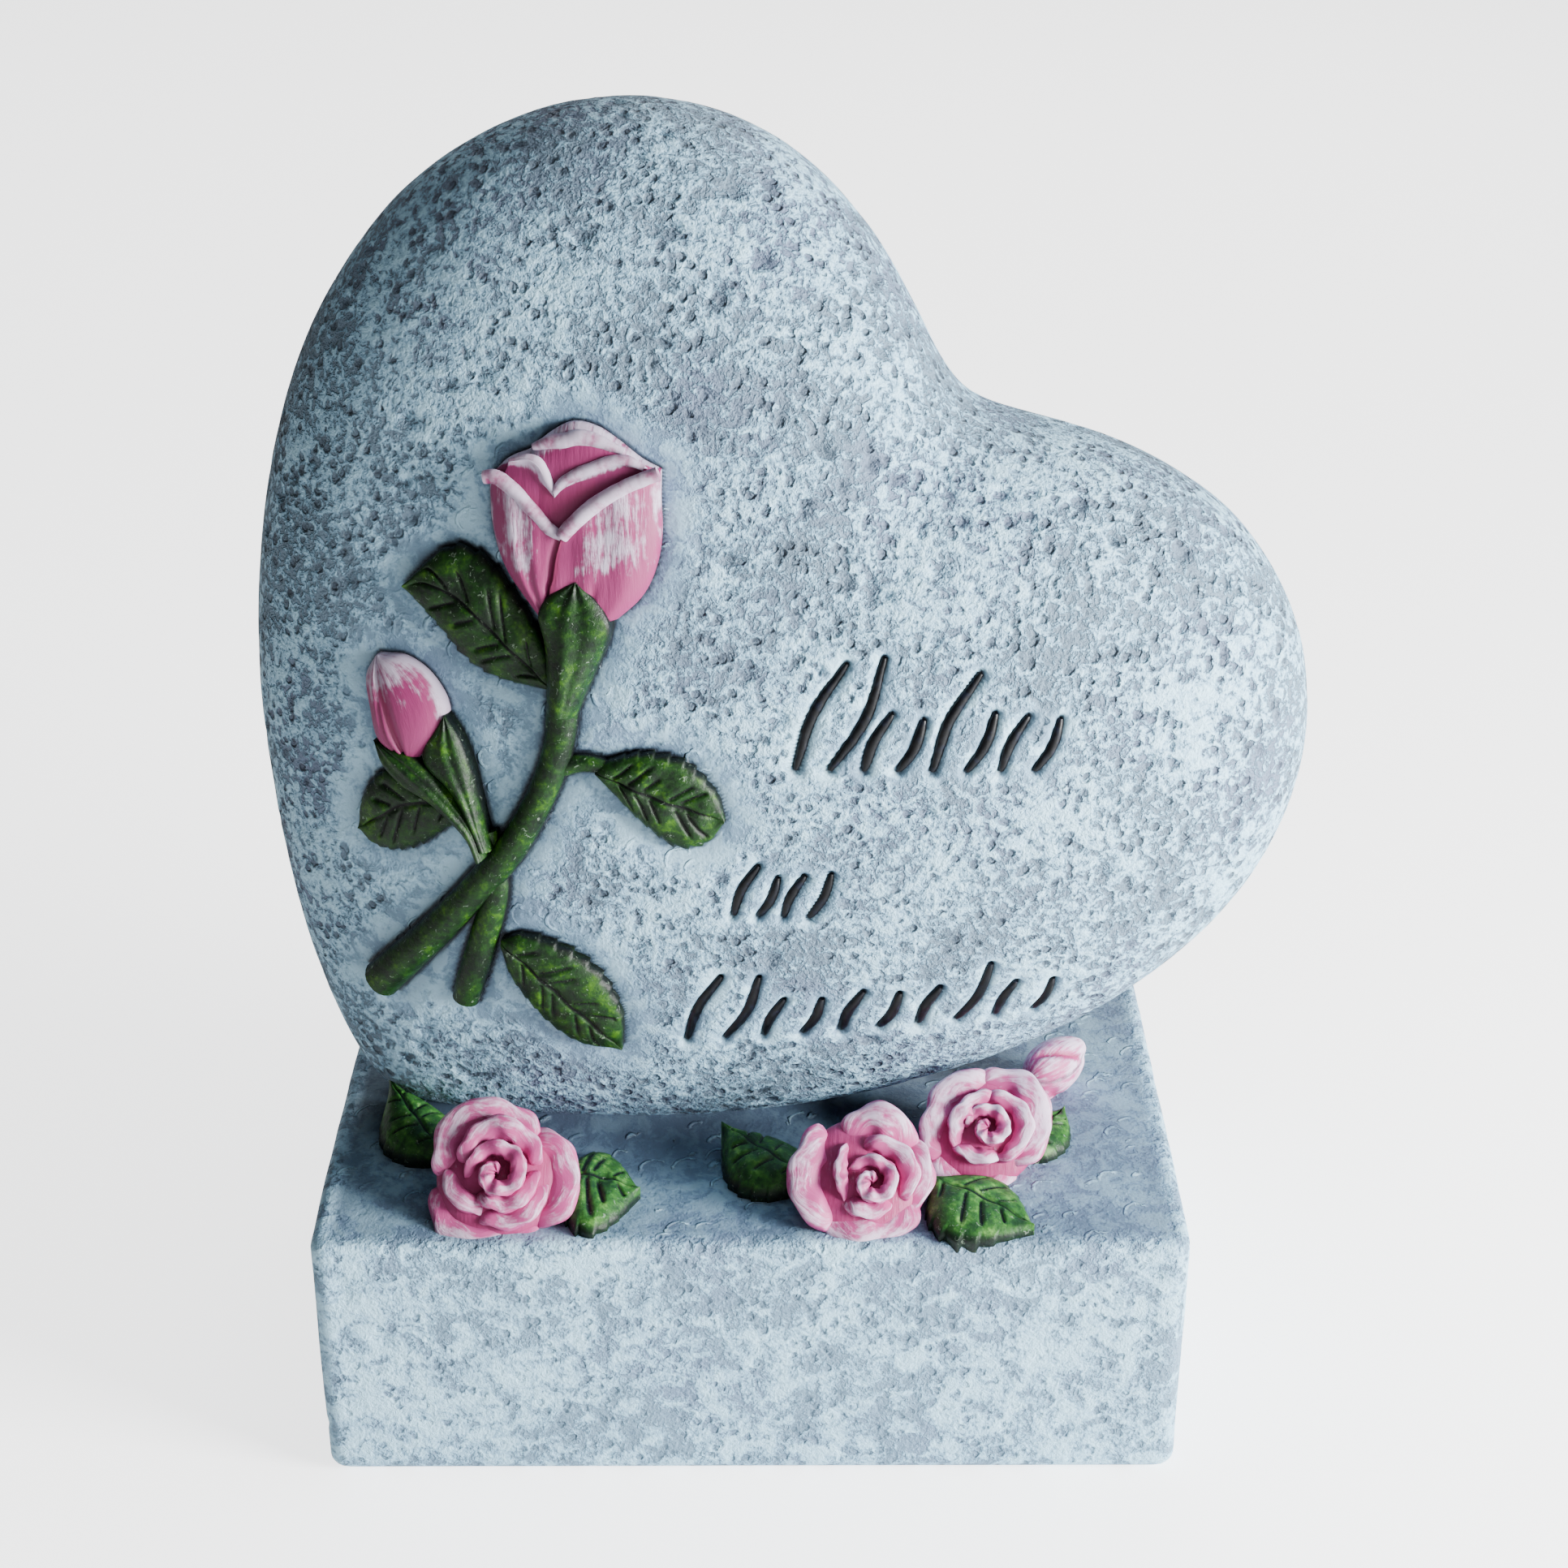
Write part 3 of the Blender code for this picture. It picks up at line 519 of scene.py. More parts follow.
@dataclass(frozen=True)
class StonePaint(Paint):
    """Blue-grey cast stone, dry-brushed with pale ice blue on whatever stands proud."""

    name: str = "cast_stone"
    low: Colour = srgb(114, 138, 158)
    # The darkest colour is painted shade, laid into the pits and the low spots of the grain.
    deep: Colour = srgb(40, 50, 66)
    pale: Colour = srgb(186, 232, 255)
    soft: Colour = srgb(142, 186, 216)
    lilac: Colour = srgb(114, 126, 158)
    # The wash colours: a dark wash round the relief on the heart; on the plinth's top, the wash together
    # with painted shade.
    wash_and_shade_tone: Colour = srgb(80, 98, 124)
    dusk: Colour = srgb(92, 98, 128)
    # The near-black colour darkens the furrows and the relief's edges; on the plinth's top it is painted
    # shadow at the heart's foot.
    outline: Colour = srgb(6, 10, 26)
    grain: float = 1.5 * MM
    crust: float = 0.55 * MM
    patch: float = 3.4 * MM
    cloud: float = 17 * MM
    pit: float = 2.1 * MM
    scallop: float = 5.6 * MM
    drift: float = 5.5 * MM
    bend: float = 1.6 * MM
    tint: float = 24 * MM
    # The side of each crescent that gets a painted highlight.
    light_side: Point = (-0.5, 0.8, 0.3)
    bump_depth: float = 0.75 * MM
    gloss: float = 0.4

    def scallops(self, nodes: Nodes, place: Socket, seed: float) -> Socket:
        """Draw thin crescents, as a blunt tool leaves them in soft stone, each only on its side towards
        light_side, where the finish lays a painted highlight.

        Args:
            nodes: The material's tree.
            place: The place on the piece, in metres.
            seed: Tells one set of crescents from another.

        Returns:
            A socket that is 1 on the crescents and 0 between them.
        """
        cells = nodes.cells(place, self.scallop, seed).outputs
        spread = nodes.add("ShaderNodeSeparateColor", {0: cells["Color"]}).outputs
        radius = nodes.plus(0.2, nodes.times(spread[0], 0.2))
        off = nodes.math("ABSOLUTE", nodes.minus(cells["Distance"], radius))
        ring = nodes.ramp(off, 0.015, 0.06, 1.0, 0.0)
        away = nodes.vector("SUBTRACT", nodes.shifted(place, seed), cells["Position"])
        heading = nodes.vector("NORMALIZE", away)
        upper = nodes.add("ShaderNodeVectorMath", {0: heading, 1: self.light_side},
                          operation="DOT_PRODUCT").outputs["Value"]
        arc = nodes.times(ring, nodes.ramp(upper, 0.15, 0.6))
        return nodes.times(arc, nodes.ramp(spread[1], 0.3, 0.5))

    def pattern(self, nodes: Nodes, place: Socket) -> Finish:
        """Paint the pattern.

        Args:
            nodes: The material's tree.
            place: The place on the piece, in metres.

        Returns:
            Sockets for colour, roughness and height, and the height's depth in metres.
        """
        grain = nodes.noise(place, self.grain, 4, 0.62, 3.1, 0.5)
        crust = nodes.minus(nodes.noise(place, self.crust, 3, 0.6, 5.2), 0.5)
        cloud = nodes.minus(nodes.noise(place, self.cloud, 3, 0.55, 7.7), 0.5)
        drift = nodes.noise(place, self.drift, 2, 0.5, 9.0)
        wash = nodes.attribute("wash")
        calm = nodes.attribute("calm")
        bent = nodes.times(nodes.minus(grain, 0.5), self.bend)
        bent = nodes.vector("ADD", place, bent)
        middle = nodes.cells(bent, self.pit, 5.0).outputs["Distance"]
        pit = nodes.ramp(middle, 0.2, 0.42, 1.0, 0.0)
        pit = nodes.times(pit, nodes.ramp(drift, 0.38, 0.56))
        # The geometry's dents count as pits, so they get painted shade too.
        pit = nodes.math("MAXIMUM", pit, nodes.times(nodes.attribute("dent"), 0.9))
        pit = nodes.damped(pit, calm, 0.75)
        patch = nodes.noise(place, self.patch, 4, 0.55, 21.0, 0.7)
        even = nodes.ramp(calm, 0.0, 0.6, 0.15, 0.85)
        shift = nodes.times(nodes.minus(patch, grain), even)
        level = nodes.plus(grain, shift)
        level = nodes.plus(level, nodes.times(cloud, 0.5))
        level = nodes.plus(level, nodes.times(crust, 0.35))
        level = nodes.minus(level, nodes.times(pit, 0.16))
        brushed = nodes.ramp(level, 0.4, 0.51)
        even = nodes.times(nodes.minus(0.9, brushed), nodes.times(calm, 0.6))
        brushed = nodes.plus(brushed, even)
        tint = nodes.ramp(nodes.noise(place, self.tint, 2, 0.5, 12.0), 0.45, 0.7)
        base = nodes.blend(nodes.times(tint, 0.6), self.low, self.lilac)
        # Painted shade: the low spots of the grain and the pits darken towards the deep colour.
        base = nodes.blend(nodes.ramp(level, 0.38, 0.2, 0.0, 0.6), base, self.deep)
        base = nodes.blend(nodes.times(pit, 0.32), base, self.deep)
        high = nodes.plus(level, nodes.times(calm, 0.05))
        light = nodes.blend(nodes.ramp(high, 0.48, 0.66), self.soft, self.pale)
        colour = nodes.blend(nodes.times(brushed, 0.92), base, light)
        # Crescents painted pale on one side, as a painted highlight.
        lit_curls = nodes.math("MAXIMUM", self.scallops(nodes, bent, 17.0), self.scallops(nodes, bent, 29.0))
        misty = nodes.plus(nodes.times(brushed, 0.07), nodes.ramp(cloud, -0.1, 0.14, 0.0, 0.24))
        wash_and_shade_tone = nodes.blend(nodes.times(tint, 0.5), self.wash_and_shade_tone, self.dusk)
        wash_and_shade_tone = nodes.blend(nodes.plus(misty, nodes.times(lit_curls, 0.62)), wash_and_shade_tone, light)
        # On the heart, a dark wash round the relief; on the plinth's top, the wash with painted shade.
        colour = nodes.blend(nodes.times(wash, 0.88), colour, wash_and_shade_tone)
        # Darker along the furrows and the relief's edges; on the plinth's top, painted shadow strongest at
        # the heart's foot.
        colour = nodes.blend(nodes.attribute("dark"), colour, self.outline)
        height = nodes.minus(nodes.weighted((brushed, 0.4), (grain, 0.7), (crust, 0.6)), pit)
        height = nodes.damped(nodes.damped(height, calm, 0.7), wash, 0.62)
        height = nodes.plus(height, nodes.times(nodes.times(lit_curls, wash), 0.75))
        rough = nodes.minus(0.66, nodes.times(brushed, 0.14))
        return colour, rough, height, self.bump_depth


@dataclass(frozen=True)
class PetalPaint(Paint):
    """Rose pink paint, brushed white on rims and along the petals, with painted shade in creases, hollows
    and undersides.
    """

    name: str = "petal_paint"
    rosy: Colour = srgb(140, 48, 98)
    deep: Colour = srgb(138, 42, 84)
    white: Colour = srgb(194, 184, 206)
    shade: float = 0.7
    spread: float = 0.0
    streak: float = 0.55 * MM
    stretch: float = 0.13
    blotch: float = 2.4 * MM
    bump_depth: float = 0.14 * MM
    gloss: float = 0.4

    def pattern(self, nodes: Nodes, place: Socket) -> Finish:
        """Paint the pattern.

        Args:
            nodes: The material's tree.
            place: The place on the piece, in metres.

        Returns:
            Sockets for colour, roughness and height, and the height's depth in metres.
        """
        along = nodes.times(nodes.attribute("along"), self.stretch)
        drawn = nodes.add("ShaderNodeCombineXYZ", {"X": nodes.attribute("across"), "Y": along}).outputs[0]
        streaks = nodes.noise(drawn, self.streak, 4, 0.6, 2.0)
        blotch = nodes.noise(place, self.blotch, 4, 0.6, 6.0)
        rim = nodes.attribute("rim")
        deep = nodes.attribute("deep")
        share = nodes.plus(rim, nodes.times(nodes.minus(streaks, 0.5), 1.5))
        share = nodes.plus(share, nodes.times(nodes.minus(blotch, 0.5), 1.3))
        white = nodes.ramp(share, 0.35 - self.spread, 1.0 - self.spread, 0.0, 0.9)
        # Painted shade: darker pink in creases, hollows and undersides.
        low = nodes.plus(deep, nodes.times(nodes.minus(blotch, 0.5), 0.6))
        colour = nodes.blend(nodes.ramp(low, 0.25, 0.95, 0.0, self.shade), self.rosy, self.deep)
        colour = nodes.blend(white, colour, self.white)
        height = nodes.weighted((streaks, 0.7), (white, 0.4))
        rough = nodes.plus(0.5, nodes.times(white, 0.25))
        return colour, rough, height, self.bump_depth


@dataclass(frozen=True)
class LeafPaint(Paint):
    """Dark green paint with yellow-green lights, dark furrows and rims, and painted shade on the stems'
    flanks.
    """

    name: str = "leaf_paint"
    dark: Colour = srgb(5, 26, 8)
    mid: Colour = srgb(16, 54, 8)
    light: Colour = srgb(60, 104, 10)
    black: Colour = srgb(2, 6, 8)
    speckle: Colour = srgb(150, 172, 150)
    blotch: float = 2.8 * MM
    grain: float = 0.8 * MM
    bump_depth: float = 0.14 * MM
    gloss: float = 0.3

    def pattern(self, nodes: Nodes, place: Socket) -> Finish:
        """Paint the pattern.

        Args:
            nodes: The material's tree.
            place: The place on the piece, in metres.

        Returns:
            Sockets for colour, roughness and height, and the height's depth in metres.
        """
        blotch = nodes.noise(place, self.blotch, 3, 0.6, 4.0)
        fine = nodes.noise(place, self.grain, 4, 0.65, 8.0)
        vein = nodes.attribute("vein")
        rim = nodes.attribute("rim")
        level = nodes.weighted((blotch, 0.65), (fine, 0.35))
        colour = nodes.blend(nodes.ramp(level, 0.38, 0.56), self.dark, self.mid)
        colour = nodes.blend(nodes.ramp(level, 0.52, 0.7), colour, self.light)
        # Dark veins and rims, and painted shade on the stems' flanks.
        shade = nodes.math("MAXIMUM", vein, nodes.times(rim, 0.7))
        shade = nodes.plus(shade, nodes.times(nodes.minus(fine, 0.5), 0.5))
        colour = nodes.blend(nodes.ramp(shade, 0.25, 0.8), colour, self.black)
        speck = nodes.ramp(nodes.noise(place, self.grain, 3, 0.6, 15.0, 1.0), 0.62, 0.72)
        colour = nodes.blend(nodes.times(speck, 0.4), colour, self.speckle)
        rough = nodes.plus(0.34, nodes.times(fine, 0.3))
        return colour, rough, nodes.plus(fine, nodes.times(speck, 0.3)), self.bump_depth


@dataclass(frozen=True)
class StrokePaint(Paint):
    """Glossy blue-black paint in the furrows."""

    name: str = "stroke_paint"
    black: Colour = srgb(2, 3, 7)
    blue: Colour = srgb(8, 14, 30)
    blotch: float = 1.4 * MM
    bump_depth: float = 0.08 * MM
    gloss: float = 0.3

    def pattern(self, nodes: Nodes, place: Socket) -> Finish:
        """Paint the pattern.

        Args:
            nodes: The material's tree.
            place: The place on the piece, in metres.

        Returns:
            Sockets for colour, roughness and height, and the height's depth in metres.
        """
        blotch = nodes.noise(place, self.blotch, 3, 0.6, 5.0)
        colour = nodes.blend(nodes.ramp(blotch, 0.5, 0.72), self.black, self.blue)
        rough = nodes.plus(0.24, nodes.times(blotch, 0.3))
        return colour, rough, blotch, self.bump_depth


FOOT_PETALS = PetalPaint("foot_petal_paint", rosy=srgb(182, 76, 134), deep=srgb(134, 28, 76),
                         white=srgb(216, 198, 224), shade=0.75, spread=0.16)
# Lighter leaf paint for the leaves at the foot, which face up into the light: painted light.
LIT_FOOT_LEAVES = LeafPaint("lit_foot_leaf_paint", dark=srgb(18, 56, 24), mid=srgb(44, 96, 34),
                        light=srgb(104, 156, 72), black=srgb(6, 18, 16))


# The stone


@dataclass
class HeartForm:
    """The heart's surface and where it stands; shares are of half its width."""

    width: float = 163 * MM
    thickness: float = 62 * MM
    turn: float = math.radians(39)
    lean: float = math.radians(9)
    middle: Point = (3 * MM, 5 * MM, 120.24 * MM)
    tip_drop: float = 1.17
    tip_rounding: float = 0.21
    side_rise: float = 0.115
    side_pull_down: float = 0.635
    side_pull_up: float = 0.356
    lobe_out: float = 0.48
    lobe_rise: float = 0.696
    lobe_pull_out: float = 0.254
    lobe_pull_in: float = 0.24
    cleft_rise: float = 0.564
    cleft_rounding: float = 0.106
    edge_power: float = 2.74
    crown_power: float = 2.28
    tip_thinning: float = 0.51
    angles: np.ndarray = field(init=False)
    radii: np.ndarray = field(init=False)
    axes: np.ndarray = field(init=False)
    spin: np.ndarray = field(init=False)

    def __post_init__(self) -> None:
        """Work out the outline's radius by angle and the face's axes."""
        outline = self.outline()
        angles = np.arctan2(outline[:, 1], outline[:, 0])
        order = np.argsort(angles)
        radii = np.linalg.norm(outline, axis=1)[order]
        self.angles = np.concatenate([angles[order] + k * 2 * math.pi for k in (-1, 0, 1)])
        self.radii = np.tile(radii, 3)
        sin, cos = math.sin(self.lean), math.cos(self.lean)
        self.axes = np.array([[1, 0, 0], [0, sin, cos], [0, -cos, sin]])
        sin, cos = math.sin(self.turn), math.cos(self.turn)
        self.spin = np.array([[cos, -sin], [sin, cos]])

    def outline(self) -> np.ndarray:
        """Draw the outline of the upright heart.

        Returns:
            Points all round, counter-clockwise from the tip.
        """
        tip, side = (0, -self.tip_drop), (1, self.side_rise)
        lobe, cleft = (self.lobe_out, self.lobe_rise), (0, self.cleft_rise)
        arcs = [
            bezier(tip, (self.tip_rounding, -self.tip_drop),
                   (1, self.side_rise - self.side_pull_down), side, 60),
            bezier(side, (1, self.side_rise + self.side_pull_up),
                   (self.lobe_out + self.lobe_pull_out, self.lobe_rise), lobe, 60),
            bezier(lobe, (self.lobe_out - self.lobe_pull_in, self.lobe_rise),
                   (self.cleft_rounding, self.cleft_rise), cleft, 60),
        ]
        right = np.vstack([arcs[0], arcs[1][1:], arcs[2][1:]])
        return np.vstack([right, right[-2:0:-1] * [-1, 1]]) * self.width / 2

    def radius(self, angle: np.ndarray) -> np.ndarray:
        """Give the outline's radius at angles of the upright heart."""
        return np.interp(angle, self.angles, self.radii)

    def half_thickness(self, own: np.ndarray) -> np.ndarray:
        """Work out half the thickness.

        Args:
            own: Places of the upright heart.

        Returns:
            Half the thickness at each place, 0 on the outline and beyond.
        """
        share = np.linalg.norm(own, axis=-1) / self.radius(np.arctan2(own[..., 1], own[..., 0]))
        edge = np.maximum(1 - np.minimum(share, 1) ** self.edge_power, 0) ** (1 / self.crown_power)
        below_top = (self.lobe_rise - own[..., 1] / (self.width / 2)) / (self.lobe_rise + self.tip_drop)
        return self.thickness / 2 * edge * (1 - self.tip_thinning * below_top**2)

    def world(self, local: np.ndarray) -> np.ndarray:
        """Turn points of the leaned face frame into points of the scene."""
        return np.array(self.middle) + local @ self.axes

    def holds(self, points: np.ndarray) -> np.ndarray:
        """Say which points lie inside the heart.

        Args:
            points: Points of the scene.

        Returns:
            True for each point inside.
        """
        local = (points - np.array(self.middle)) @ self.axes.T
        own = local[:, :2] @ self.spin.T
        inside = np.linalg.norm(own, axis=1) < self.radius(np.arctan2(own[:, 1], own[:, 0]))
        return inside & (np.abs(local[:, 2]) < self.half_thickness(own))

    def normal(self, face: np.ndarray) -> np.ndarray:
        """Work out which way the front faces.

        Args:
            face: Places on the face.

        Returns:
            The front's normal at each place, in the face frame.
        """
        step = 0.4 * MM
        rise = []
        for move in (np.array([step, 0]), np.array([0, step])):
            ahead, behind = (self.half_thickness((face + s * move) @ self.spin.T) for s in (1, -1))
            rise.append((ahead - behind) / (2 * step))
        normal = np.stack([-rise[0], -rise[1], np.ones_like(rise[0])], axis=-1)
        return normal / np.linalg.norm(normal, axis=-1, keepdims=True)

    def on_face(self, face: np.ndarray, lift: np.ndarray | float) -> np.ndarray:
        """Place points over the front of the heart.

        Args:
            face: Places on the face, x to the right and y up the slope, in metres.
            lift: How far each stands proud of the surface.

        Returns:
            Points of the scene.
        """
        face = np.asarray(face, float)
        local = np.concatenate([face, self.half_thickness(face @ self.spin.T)[..., None]], axis=-1)
        lift = np.broadcast_to(lift, face.shape[:-1])
        return self.world(local + self.normal(face) * lift[..., None])


@dataclass
class HeartStone:
    """The heart's stone skin, with its carved furrows."""

    form: HeartForm
    furrows: np.ndarray
    halos: np.ndarray
    cells: int = 112
    furrow_width: float = 1.05 * MM
    furrow_depth: float = 0.95 * MM
    halo_width: float = 1.5 * MM
    halo_depth: float = 0.35 * MM
    calm_reach: float = 6.5 * MM
    fine_reach: float = 2.2 * MM
    weld: float = 1e-7

    def disc(self) -> tuple[np.ndarray, np.ndarray]:
        """Fill the outline with a grid.

        Returns:
            Places of the upright heart, and each one's share of the radius there.
        """
        side = np.linspace(-1, 1, self.cells + 1)
        a, b = np.meshgrid(side, side, indexing="ij")
        wide = np.abs(a) > np.abs(b)
        reach = np.where(wide, a, b)
        safe = np.where(reach == 0, 1, reach)
        angle = np.where(wide, math.pi / 4 * b / safe, math.pi / 2 - math.pi / 4 * a / safe)
        share = np.sin(np.abs(reach) * math.pi / 2)
        angle = angle + np.where(reach < 0, math.pi, 0)
        heading = np.stack([np.cos(angle), np.sin(angle)], axis=-1)
        angle = (angle + math.pi) % (2 * math.pi) - math.pi
        return heading * (share * self.form.radius(angle))[..., None], share

    def build(self) -> Piece:
        """Build the skin.

        Returns:
            The heart as one closed piece, without its weathering.
        """
        own, share = self.disc()
        face = own @ self.form.spin
        depth = self.form.half_thickness(own) * (share < 1)
        front = np.concatenate([face, depth[..., None]], axis=-1).reshape(-1, 3)
        back = front * [1, 1, -1]
        quads = grid_faces(self.cells + 1, self.cells + 1)
        faces = quads + [tuple(len(front) + k for k in reversed(quad)) for quad in quads]
        work = Maker.draft(np.vstack([front, back]), faces, {})
        bmesh.ops.remove_doubles(work, verts=work.verts, dist=self.weld)
        self.refine(work)
        mesh = Maker.settle("heart_stone", work)
        Maker.reshape(mesh, self.carve)
        return Maker.put(mesh.name, mesh)

    @staticmethod
    def nearest(points: np.ndarray, lines: np.ndarray) -> np.ndarray:
        """Give each flat point's distance to the nearest point of the lines."""
        tree = tree_of(np.column_stack([lines, np.zeros(len(lines))]))
        return np.array([tree.find((x, y, 0))[2] for x, y in points])

    def refine(self, work: bmesh.types.BMesh) -> None:
        """Cut the front's faces once, and those near the carving again, to keep furrows crisp."""
        lines = np.vstack([self.furrows, self.halos])
        for reach in (math.inf, self.fine_reach):
            front = [f for f in work.faces if f.calc_center_median().z > 0]
            middles = np.array([f.calc_center_median()[:2] for f in front])
            near = self.nearest(middles, lines) < reach
            edges = {e for f, inside in zip(front, near) if inside for e in f.edges}
            bmesh.ops.subdivide_edges(work, edges=list(edges), cuts=1, use_grid_fill=True)

    def carve(self, points: np.ndarray) -> Shape:
        """Put the points on the true surface and press the carving into it.

        Args:
            points: Points in the face frame.

        Returns:
            Points of the scene, and what the finish reads on each.
        """
        form = self.form
        face = points[:, :2]
        own = face @ form.spin.T
        depth = form.half_thickness(own)
        share = np.linalg.norm(own, axis=1) / form.radius(np.arctan2(own[:, 1], own[:, 0]))
        front = (points[:, 2] > 0) & (share < 0.99)
        points = points.copy()
        points[front, 2] = depth[front]
        sunk = np.zeros(len(points))
        wash, calm, dark = (np.zeros(len(points)) for _ in range(3))
        lines = self.nearest(face[front], self.furrows)
        halo = self.nearest(face[front], self.halos)
        furrow = 1 - smoothstep(0.25, 1.0, lines / self.furrow_width)
        sunk[front] = self.furrow_depth * furrow + self.halo_depth * bump(halo, self.halo_width)
        # On the heart this mark is only the dark wash round the relief.
        wash[front] = 0.45 * bump(halo, 2.6 * MM) + 0.2 * bump(halo, 8.0 * MM)
        calm[front] = 1 - smoothstep(0.3, 1.0, np.minimum(halo / self.calm_reach, lines / (3 * MM)))
        dark[front] = np.maximum(0.95 * (1 - smoothstep(0.2 * MM, 0.75 * MM, halo)), furrow)
        local = points.copy()
        local[front] -= form.normal(face[front]) * sunk[front][:, None]
        return form.world(local), {"wash": wash, "calm": calm, "dark": dark}


@dataclass
class PlinthStone:
    """The oblong plinth, with a fillet where the heart grows out of it."""

    width: float = 130 * MM
    depth: float = 90 * MM
    height: float = 43.5 * MM
    top_radius: float = 1.6 * MM
    foot_radius: float = 3 * MM
    corner_radius: float = 2.5 * MM
    least_radius: float = 0.6 * MM
    cell: float = 0.85 * MM
    fillet_height: float = 3.4 * MM
    fillet_reach: float = 2.6 * MM
    # Painted shade over the plinth's top, partly a wash: how far the heart's painted shadow reaches, and how
    # dark the rest of the top is.
    shade_reach: float = 12 * MM
    top_wash_and_shade: float = 0.82
    brushed_rim: float = 0.9 * MM
    wash_fade: float = 2.4 * MM
    wall_calm: float = 0.5

    def profile(self) -> np.ndarray:
        """Draw the side's profile.

        Returns:
            Pairs of inset and height, from the underside's edge up to the top's.
        """
        turns = np.linspace(0, math.pi / 2, 6)
        low, high = 1 - np.sin(turns), 1 - np.cos(turns)
        foot = np.column_stack([self.foot_radius * low, self.foot_radius * high])
        top = np.column_stack([self.top_radius * high, self.height - self.top_radius * low])
        count = round((self.height - self.foot_radius - self.top_radius) / self.cell)
        wall = np.linspace(foot[-1], top[0], count + 1)[1:-1]
        return np.vstack([foot, wall, top])

    def ring(self, inset: float, counts: tuple[int, int]) -> np.ndarray:
        """Draw a rounded oblong, with 4 cells round each corner.

        Args:
            inset: How far it lies within the plinth's outline.
            counts: Cells along the width and the depth.

        Returns:
            Flat points, counter-clockwise from the front right corner.
        """
        radius = max(self.corner_radius - inset / 2, self.least_radius)
        half = np.array([self.width, self.depth]) / 2 - inset - radius
        corners = ((1, -1), (1, 1), (-1, 1), (-1, -1))
        points = []
        for k, (sx, sy) in enumerate(corners):
            centre = half * (sx, sy)
            for turn in np.linspace(k - 1, k, 5) * math.pi / 2:
                points.append(centre + radius * np.array([math.cos(turn), math.sin(turn)]))
            ahead = half * corners[(k + 1) % 4]
            end = ahead + radius * np.array([math.cos(k * math.pi / 2), math.sin(k * math.pi / 2)])
            run = np.linspace(points[-1], end, counts[1 - k % 2] + 1)
            points.extend(run[1:-1])
        return np.array(points)

    def build(self, heart: Piece, form: HeartForm) -> Piece:
        """Build the plinth under the heart.

        Args:
            heart: The heart's stone, whose underside the fillet rises to.
            form: The heart's surface.

        Returns:
            The plinth as one closed piece, without its weathering.
        """
        counts = (round(self.width / self.cell), round(self.depth / self.cell))
        rings = []
        for inset, z in self.profile():
            ring = self.ring(inset, counts)
            rings.append(np.column_stack([ring, np.full(len(ring), z)]))
        size = len(rings[0])
        points = np.vstack(rings)
        faces = [(a, b, c, d) for d, c, b, a in grid_faces(len(rings), size, wrap=True)]
        work = bmesh.new()
        made = [work.verts.new(p) for p in points]
        for quad in faces:
            work.faces.new([made[k] for k in quad])
        self.cap(work, made[:size], counts)
        self.cap(work, made[-size:], counts)
        mesh = Maker.settle("plinth_stone", work)
        Maker.reshape(mesh, lambda places: self.fillet(places, heart, form))
        return Maker.put(mesh.name, mesh)

    @staticmethod
    def cap(work: bmesh.types.BMesh, rim: list[bmesh.types.BMVert], counts: tuple[int, int]) -> None:
        """Close the top or the underside with a grid whose edge is the rim.

        Args:
            work: The mesh in the making.
            rim: The rim's points in order, from the front right corner.
            counts: Cells along the width and the depth.
        """
        wide, deep = counts[0] + 4, counts[1] + 4
        loop = rim[2:] + rim[:2]
        right = loop[:deep + 1]
        back = loop[deep:deep + wide + 1]
        left = loop[deep + wide:2 * deep + wide + 1]
        front = loop[2 * deep + wide:] + loop[:1]
        sides = (front, back[::-1], left[::-1], right)
        places = coons(*(np.array([v.co[:] for v in side]) for side in sides))
        grid = np.empty((deep + 1, wide + 1), dtype=object)
        grid[0], grid[-1], grid[:, 0], grid[:, -1] = sides
        for r in range(1, deep):
            for c in range(1, wide):
                grid[r, c] = work.verts.new(places[r, c])
        made = grid.ravel()
        for a, b, c, d in grid_faces(deep + 1, wide + 1):
            work.faces.new((made[a], made[d], made[c], made[b]))

    def fillet(self, points: np.ndarray, heart: Piece, form: HeartForm) -> Shape:
        """Raise the top towards the heart's underside, and mark painted shade over the top, deepest next to
        the heart.

        Args:
            points: The plinth's points.
            heart: The heart's stone.
            form: The heart's surface.

        Returns:
            The points, raised, and what the finish reads on each.
        """
        points = points.copy()
        tree = BVHTree.FromObject(heart, bpy.context.evaluated_depsgraph_get())
        inside = form.holds(points)
        shade = np.zeros(len(points))
        for k in np.flatnonzero(points[:, 2] > self.height - 0.1 * MM):
            x, y, z = points[k]
            gap = 0 if inside[k] else tree.find_nearest(Vector((x, y, z)))[3]
            points[k, 2] += self.fillet_height * math.exp(-gap / self.fillet_reach)
            near = math.exp(-((gap / self.shade_reach) ** 2))
            inset = min(self.width / 2 - abs(x), self.depth / 2 - abs(y))
            edge = min(max((inset - self.brushed_rim) / self.wash_fade, 0), 1)
            # Painted shade over the top inside its dry-brushed rim, partly a wash, deepest next to the
            # heart.
            shade[k] = edge * (self.top_wash_and_shade + (1 - self.top_wash_and_shade) * near)
        calm = np.maximum(shade, self.wall_calm)
        # The dark mark adds painted shadow, strongest at the heart's foot.
        return points, {"wash": shade, "calm": calm, "dark": 0.6 * shade**6}


